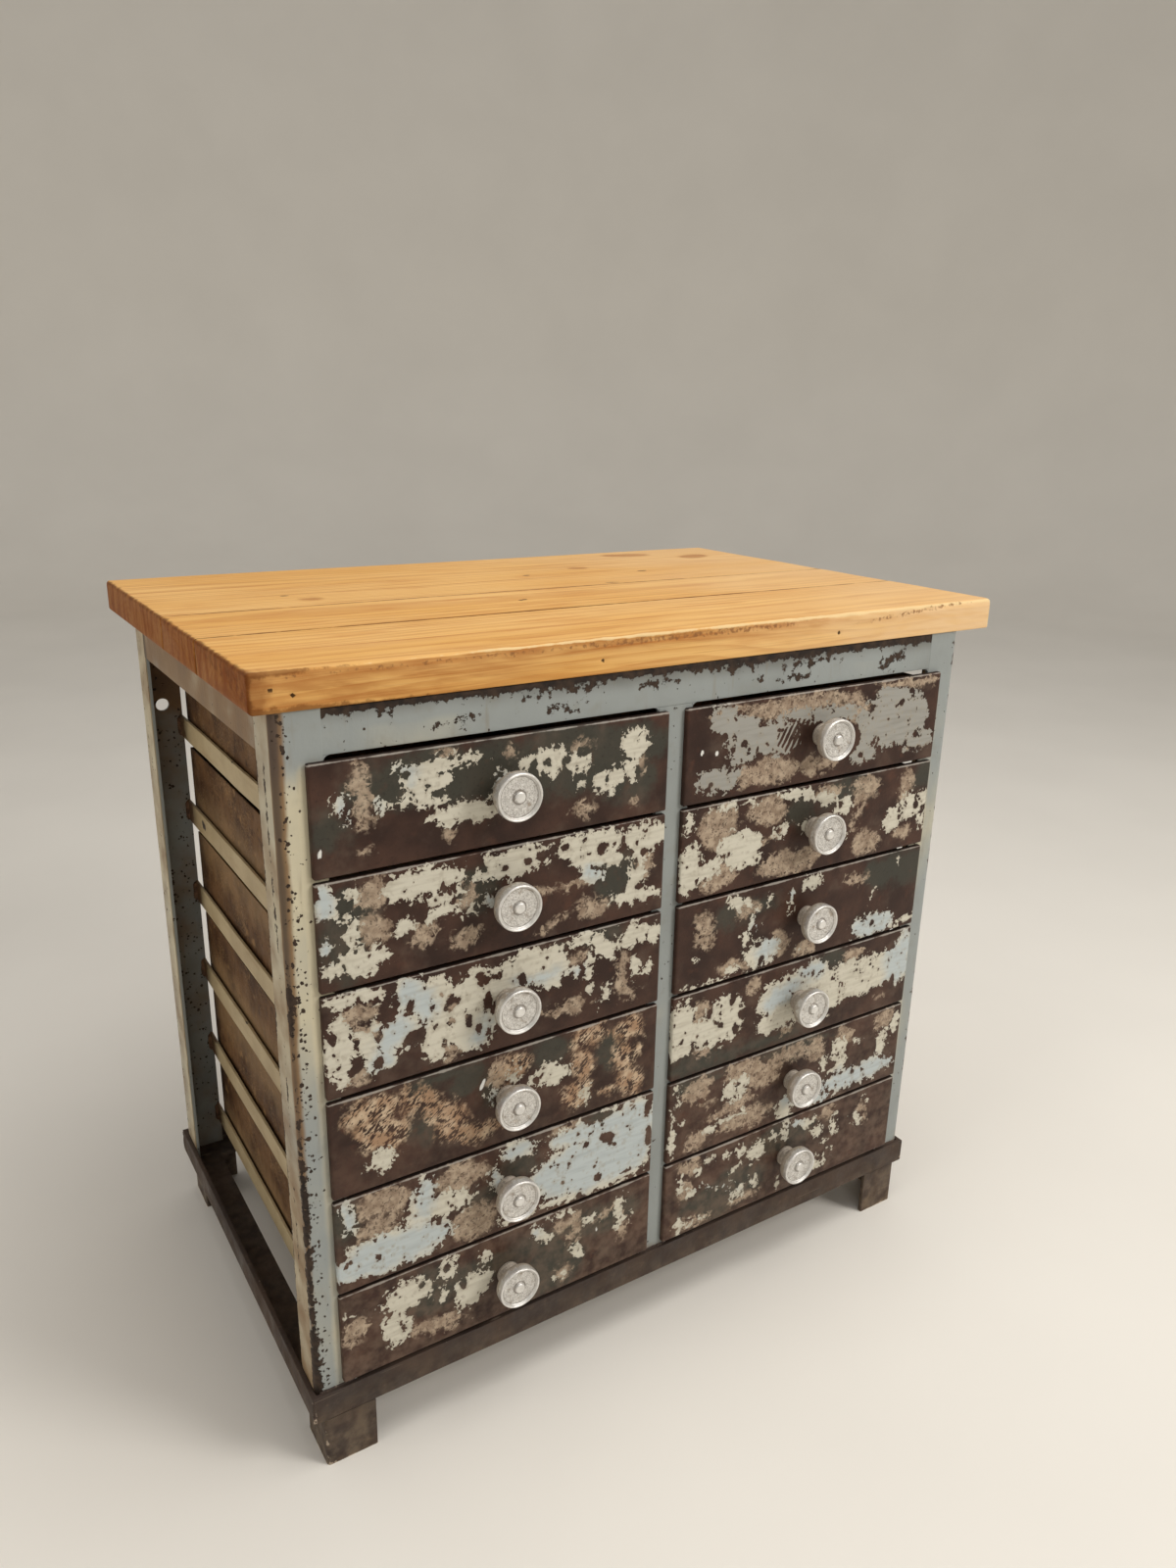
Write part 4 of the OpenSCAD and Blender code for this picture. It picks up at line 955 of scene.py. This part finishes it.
for number, drawer in enumerate(DRAWERS):
    low, high = (np.array(c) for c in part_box(f"drawer_front_{drawer}"))
    high = high - TOP_ROW_SHORT if drawer.endswith("1") else high
    points, faces, flat_x, flat_z, top = folded_front(low - HANGS_LOW, high, 60 + number)
    fields = {kind: coat_field(flat_x, flat_z, COATS[drawer].get(kind)) for kind in COAT_KINDS}
    fields |= {"top_edge": top - flat_z, "eaten": EATEN[drawer]}
    piece = made(f"front_{drawer}", points, faces, front_layers, **fields)
    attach(piece, f"drawer_{drawer}")
    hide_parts(f"drawer_front_{drawer}")

# Knobs
# Cast aluminium, turned on the rim: a thick round head on a narrow neck and foot, its face sunk and pebbled
# inside a bright rim, with a plain boss in the middle. The sides are grey-brown with handling.
KNOB_PROFILE = [
    (0.0, 0.0), (3.8, 0.0), (4.5, 0.3), (4.9, 1.0), (5.1, 2.8),
    (18.2, 2.8), (18.7, 2.3), (19.0, 1.2), (19.3, 0.4), (20.0, 0.0), (20.7, 0.1), (21.2, 0.7), (21.4, 1.7),
    (21.5, 3.0), (21.3, 8.0), (20.9, 10.2), (20.0, 11.5), (18.0, 12.0), (11.0, 12.4), (9.2, 13.6),
    (8.5, 15.5), (8.5, 21.0), (9.4, 23.2), (11.0, 24.0), (11.5, 24.6), (11.5, 26.8),
]
# the point of the profile where the floor of the dish meets the rim
DISH_EDGE = 5
knob_cast, coords = blank("knob_cast")
colour = over(step_up(grain(coords, 5 * MM), -1.0, 1.0), (216, 214, 210), (236, 234, 230))
dirt = ragged(coords, field(coords, "dirt"), 2.5, 9 * MM, 1.6)
colour = over(dirt, colour, (150, 132, 108), 0.75)
# the dish is darker where it lies low, and its two creases carry painted shade
deep = step_up(field(coords, "hollow"), 0.0, 0.5)
colour = over(deep, colour, (124, 116, 108), 0.8)
shine = times(dirt, -0.4, 0.7)
matt = times(dirt, 0.2, 0.36)
finish(knob_cast, colour, matt, grain(coords, 1.0 * MM, 3.0), 0.08 * MM, Metallic=shine)


def turned(profile, axis_x, axis_z, face_y, seed):
    """A turned knob: the profile (radius, depth behind the rim) is run round the axis, finely inside the
    rim, where the floor of the dish is lifted and sunk in pebbles about a millimetre wide. A point
    closes each end."""
    r, d = np.array(profile).T
    run = np.concatenate([[0], np.cumsum(np.hypot(np.diff(r), np.diff(d)))])
    edge = run[DISH_EDGE]
    fine = np.concatenate([np.arange(0.38, edge, 0.38), np.linspace(edge, run[-1], 60)])
    r, d = np.interp(fine, run, r), np.interp(fine, run, d)
    turn = np.linspace(0, 2 * np.pi, 180, endpoint=False)
    x, z = r[:, None] * np.cos(turn), r[:, None] * np.sin(turn)
    y = np.broadcast_to(d[:, None], x.shape)
    spots = np.stack([x, 0 * x, z], -1)
    dish = ((r > 5.4) & (r < 18.0) & (d > 2.6))[:, None]
    pebble = 0.2 * np.abs(lattice_noise(spots, 1.0, seed)) + 0.16 * lattice_noise(spots, 0.7, seed + 1)
    pebble = np.where(dish, pebble, 0)
    cast = 0.12 * lattice_noise(np.stack([x, y, z], -1), 7.0, seed + 2)
    lifted = y - np.clip(pebble, -0.2, 0.6) + 0.3 * cast
    points = np.stack([x * (1 + cast / 20), lifted, z], -1).reshape(-1, 3)
    # painted shade darkens the two creases of the dish, round the boss and inside the rim, and the pebbled
    # floor of the dish is darker where it lies lower
    crease = np.exp(-(((r - 5.9) / 0.8) ** 2)) + np.exp(-(((r - 18.2) / 0.7) ** 2))
    hollow = (np.where(dish, 0.25 - pebble, -0.3) + 0.5 * (crease * (d > 1.0))[:, None]).ravel()
    poles = np.array([(0, d[0], 0), (0, d[-1], 0)])
    points = np.concatenate([points, poles]) * MM + (axis_x, face_y, axis_z)
    first = np.arange(turn.size)
    last = first + x.size - turn.size
    faces = hoops(x.shape, caps=False, flip=True)
    faces += np.stack([np.full(turn.size, x.size), first, np.roll(first, -1)], -1).tolist()
    faces += np.stack([np.full(turn.size, x.size + 1), np.roll(last, -1), last], -1).tolist()
    return points, faces, np.append(hollow, (-0.5, -0.5)), np.append(y, (0, 27))


screw_steel, coords = blank("screw_steel")
colour = over(step_up(grain(coords, 3 * MM), -0.5, 1.0), (132, 128, 122), (96, 84, 72))
finish(screw_steel, colour, 0.42, grain(coords, 1.5 * MM), 0.05 * MM, Metallic=0.9)
for number, drawer in enumerate(DRAWERS):
    low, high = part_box(f"knob_{drawer}")
    middle_x, middle_z = (low.x + high.x) / 2, (low.z + high.z) / 2
    points, faces, hollow, behind = turned(KNOB_PROFILE, middle_x, middle_z, low.y, 80 + number)
    piece = made(f"pull_{drawer}", points, faces, knob_cast, 50, hollow=hollow, dirt=(behind - 5.5) * 0.8)
    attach(piece, f"drawer_{drawer}")
    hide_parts(f"knob_{drawer}")

# Knob screws
# A round-headed screw runs from inside each tray through its front into the knob. Only the slotted head
# shows, when the drawer is open.
HEAD_R, HEAD_H, SLOT_W = 3.75, 3.0, 0.6
share, turn = np.linspace(0, 1, 14)[1:, None], np.linspace(0, 2 * np.pi, 48, endpoint=False)
# the head is a dome whose height falls off with the square of the radius, down to a short straight side
radius = HEAD_R * np.minimum(share * 1.15, 1)
x, z = radius * np.cos(turn), radius * np.sin(turn)
rise = np.where(share * 1.15 <= 1, HEAD_H - 1.2 * share**2, HEAD_H * (1 - share) * 3.2)
rise = rise - 1.0 * (np.abs(x) < SLOT_W) * (share < 0.86)
rings = np.stack([x, np.maximum(rise, 0), z], -1).reshape(-1, 3)
for drawer in DRAWERS:
    low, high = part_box(f"knob_{drawer}")
    points = rings * MM + ((low.x + high.x) / 2, high.y - HEAD_H * MM, (low.z + high.z) / 2)
    piece = made(f"screw_{drawer}", points, hoops(x.shape), screw_steel, 40)
    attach(piece, f"drawer_{drawer}")
    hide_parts(f"knob_{drawer}")

# Plank top
# Three reclaimed pine boards laid side by side and waxed honey-orange. The front arris is rubbed pale, a
# strip under it has broken out rough and dark, old nail holes are left in the front, and the corners are
# dark with handling.
PLANK_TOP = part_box("top_plank_front")[1].z
# where the pith line of each board's log runs (y, z), and the seed of its grain
PITH = {"front": (-0.19, 0.690, 5), "middle": (-0.02, 0.668, 6), "back": (0.17, 0.700, 7)}
# mm: nail holes (x, z) in the front, then ellipses: marks and knots on top, broken strips of the front
NAILS = [(-388, 744), (-371, 738.5), (-98, 738), (181, 739)]
SPECKS = [(-268, 88, 5, 2.2), (-60, -36, 7, 2, 20), (92, 30, 9, 1.6, -15), (30, 118, 5, 2), (180, 96, 7, 2)]
KNOTS = [(330, 190, 26, 16, 20), (250, 235, 34, 14, -10), (120, 150, 14, 9), (-250, 60, 12, 8)]
BROKEN = [(0, 752.5, 120, 2.2), (-200, 752.5, 110, 0.7), (285, 752, 66, 1.3, 4.3)]


def plank_skin(low, high, radii, end_round, step):
    """A board: its rounded outline (y, z) is carried along x, and near both ends the outline shrinks
    towards its middle on a quarter circle, so that the end arrises are rounded too. Two caps close it."""
    low, high = np.array(low), np.array(high)
    outline = rounded_outline(
        [(low[1], low[2]), (high[1], low[2]), (high[1], high[2]), (low[1], high[2])], radii, 2.2 * MM
    )
    bow = end_round * (1 - np.cos(np.linspace(0, np.pi / 2, 6)))
    inner = np.linspace(low[0] + end_round, high[0] - end_round, int((high[0] - low[0]) / step))
    x = np.concatenate([low[0] + bow[:-1], inner, high[0] - bow[-2::-1]])
    from_end = np.minimum(x - low[0], high[0] - x)
    shrink = end_round * (1 - np.sqrt(np.clip(1 - (1 - np.minimum(from_end / end_round, 1)) ** 2, 0, 1)))
    centre, half = (low[1:] + high[1:]) / 2, (high[1:] - low[1:]) / 2
    scale = 1 - shrink[:, None] / half
    yz = centre + (outline - centre)[None] * scale[:, None]
    points = np.concatenate([np.broadcast_to(x[:, None, None], yz.shape[:2] + (1,)), yz], -1)
    return points.reshape(-1, 3), hoops(points.shape[:2])


def waxed_pine(name, pith_y, pith_z, seed):
    """Pine cut from a log: growth rings are the fractions of the distance from the pith line, which
    wanders along the board, and fine fibres run along it. Wear and dirt fields lie over the rings."""
    material, coords = blank(name)
    wires = {0: coords, 1: (0.37 * seed, 0, 0)}
    moved = put(coords.id_data, "ShaderNodeVectorMath", wires, operation="ADD").outputs[0]
    place = xyz(coords)
    sway = grain(moved, 60 * MM, 2.0, (6, 1, 1))
    y = calc("ADD", calc("SUBTRACT", place["Y"], pith_y), times(sway, 9 * MM))
    z = calc("SUBTRACT", place["Z"], pith_z)
    radius = calc("POWER", calc("ADD", calc("POWER", y, 2.0), calc("POWER", z, 2.0)), 0.5)
    radius = times(grain(moved, 25 * MM, 3.0, (8, 1, 1)), 1.6 * MM, radius)
    ring = calc("FRACT", calc("DIVIDE", radius, 6.5 * MM))
    late = times(step_up(ring, 0.35, 0.93), calc("SUBTRACT", 1.0, step_up(ring, 0.94, 1.0)))
    patch = step_up(grain(moved, 90 * MM, 3.0, (3, 1, 1)), -0.9, 0.9)
    colour = over(patch, (232, 187, 120), (223, 171, 97))
    wires = {0: times(place["Z"], 2.2, place["X"]), 1: y, 2: z}
    slanted = put(coords.id_data, "ShaderNodeCombineXYZ", wires).outputs[0]
    flame = step_up(grain(slanted, 13 * MM, 4.0, (6, 1, 1)), 0.0, 1.3)
    colour = over(flame, colour, (192, 122, 58), 0.5)
    colour = over(late, colour, (180, 112, 52), 0.34)
    fibre = step_up(grain(moved, 1.3 * MM, 3.0, (60, 1, 1)), 0.0, 1.4)
    colour = over(fibre, colour, (164, 102, 48), 0.4)
    stripe = step_up(grain(moved, 5 * MM, 4.0, (45, 1, 1)), -0.1, 1.2)
    colour = over(stripe, colour, (192, 126, 62), 0.4)
    lines = step_up(grain(moved, 4 * MM, 3.0, (55, 1, 1)), 0.2, 0.95)
    colour = over(lines, colour, (178, 112, 54), 0.65)
    pale_fibre = step_up(grain(moved, 2.2 * MM, 2.0, (40, 1, 1)), 0.3, 1.4)
    colour = over(pale_fibre, colour, (242, 202, 138), 0.45)
    faded = step_up(times(grain(moved, 70 * MM, 3.0, (3, 1, 1)), 0.12, place["X"]), -0.05, 0.5)
    colour = over(faded, colour, (224, 190, 146), 0.55)
    knots = ragged(coords, field(coords, "knot"), 2.0, 14 * MM, 5.0)
    colour = over(knots, colour, (150, 84, 36), 0.55)
    crack = step_up(grain(coords, 5 * MM, 3.0, (1, 1, 9)), 0.75, 1.0)
    cut_end = step_up(field(coords, "to_end"), 3.0, 0.5)
    streaky = step_up(grain(coords, 8 * MM, 4.0, (1, 1, 3)), -0.7, 0.9)
    cut_share = times(cut_end, times(streaky, 0.22, 0.74))
    colour = over(cut_share, colour, (122, 60, 18))
    colour = over(times(cut_end, crack), colour, (92, 54, 28), 0.7)
    on_face = step_up(field(coords, "to_face"), 1.5, 0.2)
    along_x = times(sway, 0.05, place["X"])
    streaky = step_up(grain(slanted, 8 * MM, 5.0, (5, 1, 1)), -0.5, 0.8)
    stained = times(step_up(along_x, -0.04, -0.28), times(streaky, 0.4, 0.15))
    band = step_up(place["Z"], PLANK_TOP - 17 * MM, PLANK_TOP - 8 * MM)
    band = times(band, step_up(along_x, 0.35, -0.05))
    stained = calc("MAXIMUM", stained, times(band, times(streaky, 0.35, 0.3)))
    colour = over(times(on_face, stained), colour, (156, 88, 40))
    bleached = times(step_up(along_x, 0.0, 0.34), times(streaky, -0.4, 0.65))
    colour = over(times(on_face, bleached), colour, (232, 200, 158))
    pale = ragged(coords, field(coords, "pale"), 0.8, 24 * MM, 0.6)
    colour = over(pale, colour, (228, 202, 152), 0.8)
    dirt = ragged(coords, field(coords, "dirt"), 5.0, 30 * MM, 7.0)
    colour = over(dirt, colour, (132, 78, 40), 0.6)
    outlined = ragged(coords, field(coords, "outline"), 2.0, 14 * MM, 1.6)
    colour = over(outlined, colour, (96, 50, 22), 0.6)
    rough = ragged(coords, field(coords, "rough"), 1.6, 7 * MM, 0.8)
    pebbly = step_up(grain(coords, 3.5 * MM, 2.0), -0.5, 0.6)
    colour = over(times(rough, pebbly), colour, (136, 94, 60), 0.8)
    seam = ragged(coords, field(coords, "seam"), 0.8, 40 * MM, 0.7)
    colour = over(seam, colour, (92, 54, 28), 0.75)
    marks = step_up(field(coords, "mark"), -0.3, 0.3)
    colour = over(marks, colour, (52, 34, 24), 0.9)
    height = calc("ADD", times(late, 0.4), times(fibre, -0.5))
    finish(material, colour, times(rough, 0.3, 0.42), height, 0.15 * MM, Specular_IOR_Level=0.03)
    return material


for board, (pith_y, pith_z, seed) in PITH.items():
    node = f"top_plank_{board}"
    low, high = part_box(node)
    in_front = board == "front"
    front, back = (2.6 if in_front else 0.8) * MM, (3 if board == "back" else 0.8) * MM
    points, faces = plank_skin(low, high, [0.6 * front, 0.6 * back, back, front], 3.5 * MM, 3 * MM)
    x, y, z = points.T / MM
    from_left, from_right, to_bottom = x - low.x / MM, high.x / MM - x, z - low.z / MM
    to_front, to_back, to_top = y - low.y / MM, high.y / MM - y, high.z / MM - z
    from_end = np.minimum(from_left, from_right)
    to_seam = np.minimum(99.0 if in_front else to_front, 99.0 if board == "back" else to_back)
    nowhere = np.full(len(x), -60.0)
    pale, band, corners, rub, to_face = nowhere, nowhere, -nowhere, 0 * x, 99.0
    mark, outline = nowhere, 2.0 - np.hypot(from_left, to_top)
    if in_front:
        arris = np.hypot(to_front, to_top)
        pale = np.interp(x, (-405, -330, -210, 0, 405), (-2, 0.2, 1.7, 2.2, 2.8)) - arris
        pale = np.maximum(pale, 2.4 - np.hypot(from_right, to_front))
        band = np.where(to_front < 3, coat_field(x, z, BROKEN), nowhere)
        holes = [2.1 - np.hypot(x - hx, z - hz) for hx, hz in NAILS]
        mark = np.where(to_front < 3, np.max(holes, axis=0), nowhere)
        corners = np.hypot(np.minimum(from_left, 60), np.minimum(to_front, 60))
        # hands have darkened the arrises round the left end
        under = 5.0 - np.hypot(to_front, to_bottom) - from_left / 28
        upper = 3.6 - arris - from_left / 22
        ends = [3.0 - np.hypot(from_left, to_front), 3.0 - np.hypot(from_left, to_top)]
        outline = np.maximum.reduce([under, upper, *ends])
        rub = 0.5 + 0.6 * np.clip((x + 60) / 300, 0, 1) + 0.7 * lattice_noise(points * (1, 0, 0), 14 * MM, 3)
        rub = rub * np.exp(-((arris / 4.5) ** 2))
        to_face = np.maximum(to_front, 2.5 - to_top)
    mark = np.where(to_top < 1, coat_field(x, y, SPECKS), mark)
    dirt = np.maximum(np.where((from_end < 2) & (to_top > 14), -2.0, -30.0), 14 - corners)
    # broken and rubbed edges are cut into the board itself
    broken = np.clip(band + 1, 0, 3) / 4 * np.clip(0.6 + lattice_noise(points, 5 * MM, 8), 0, 2)
    sunk = 0.7 * rub + 1.5 * broken + 1.5 * np.clip(mark, 0, 2)
    points = points + MM * np.stack([0 * x, sunk, -0.7 * rub], 1)
    points[:, 2] += 0.3 * MM * lattice_noise(points * (0.3, 1, 1), 45 * MM, seed) * (to_top < 1)
    pine = waxed_pine(f"waxed_pine_{board}", pith_y, pith_z, seed)
    piece = made(
        f"board_{board}", points, faces, pine, 40, pale=pale, rough=band, mark=mark, dirt=dirt,
        outline=outline, knot=coat_field(x, y, KNOTS), seam=1.3 - to_seam, to_end=from_end, to_face=to_face,
    )
    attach(piece, "frame")
    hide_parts(node)

# Top screws
# Six wood screws come up through the side rails into the planks. They are out of sight from above, so the
# solids stay.
keep_solid("top_screws", screw_steel)

# Floor, light and camera
# A round pale floor that sweeps up into a wall, one large soft lamp to the right of the front, weaker ones
# overhead and to the left, and an even sky. The camera stands to the left of the front, above the top.
FLOOR_R, SWEEP_R, WALL_H, FLAT, CURVED = 5.0, 1.6, 3.0, 0.7, 0.2
run, turn = np.linspace(0, 1, 40)[1:, None], np.linspace(0, 2 * np.pi, 96, endpoint=False)
bend = np.pi / 2 * np.clip((run - FLAT) / CURVED, 0, 1)
radius = np.where(run < FLAT, FLOOR_R * run / FLAT, FLOOR_R + SWEEP_R * np.sin(bend))
above = (run - FLAT - CURVED) / (1 - FLAT - CURVED)
rise = SWEEP_R * (1 - np.cos(bend)) + WALL_H * np.clip(above, 0, 1) + 0 * turn
grid = np.stack([radius * np.cos(turn), radius * np.sin(turn), rise], -1)
faces = hoops(grid.shape[:2], caps=False, flip=True) + [list(range(turn.size))]
pale_floor, coords = blank("pale_floor")
colour = over(step_up(grain(coords, 0.5), -1.5, 1.5), (240, 236, 228), (234, 230, 222))
finish(pale_floor, colour, 0.8)
floor = made("floor", grid.reshape(-1, 3), faces, pale_floor)

for name, place, size, power in (
    ("key", (1.9, -2.6, 2.3), 1.4, 60.0),
    ("overhead", (0.3, -0.5, 2.8), 1.8, 27.0),
    ("side", (-2.8, -0.3, 1.6), 1.8, 16.0),
):
    lamp = bpy.data.objects.new(name, bpy.data.lights.new(name, "AREA"))
    lamp.data.shape, lamp.data.size, lamp.data.energy = "DISK", size, power
    lamp.data.color = (1.0, 0.97, 0.93)
    back = np.array(place) - (0, 0, 0.4)
    back /= np.linalg.norm(back)
    side = np.cross((0, 0, 1), back)
    side /= np.linalg.norm(side)
    turned_to = Matrix(np.stack([side, np.cross(back, side), back], 1).tolist()).to_4x4()
    lamp.matrix_world = Matrix.Translation(place) @ turned_to
    bpy.context.scene.collection.objects.link(lamp)
world = bpy.data.worlds.new("sky")
world.use_nodes = True
world.node_tree.nodes["Background"].inputs["Color"].default_value = (1.0, 0.98, 0.96, 1.0)
world.node_tree.nodes["Background"].inputs["Strength"].default_value = 0.4
bpy.context.scene.world = world

YAW, PITCH, ROLL = 0.5702, -0.3176, 0.0203
EYE, SENSOR = (-0.626, -1.048, 0.9418), 36.0
# the focal length and the picture's height, in pixels
FOCAL, TALL = 1155.3, 1600
ahead = np.array([np.sin(YAW) * np.cos(PITCH), np.cos(YAW) * np.cos(PITCH), np.sin(PITCH)])
level = np.array([np.cos(YAW), -np.sin(YAW), 0.0])
upward = np.cross(level, ahead)
right_hand = np.cos(ROLL) * level + np.sin(ROLL) * upward
overhead = np.cos(ROLL) * upward - np.sin(ROLL) * level
camera = bpy.data.objects.new("camera", bpy.data.cameras.new("camera"))
camera.data.sensor_width, camera.data.lens = SENSOR, SENSOR * FOCAL / TALL
camera.data.clip_start, camera.data.clip_end = 0.01, 50.0
turned_to = Matrix(np.stack([right_hand, overhead, -ahead], 1).tolist()).to_4x4()
camera.matrix_world = Matrix.Translation(EYE) @ turned_to
bpy.context.scene.collection.objects.link(camera)
bpy.context.scene.camera = camera
bpy.context.scene.view_settings.view_transform = "Standard"
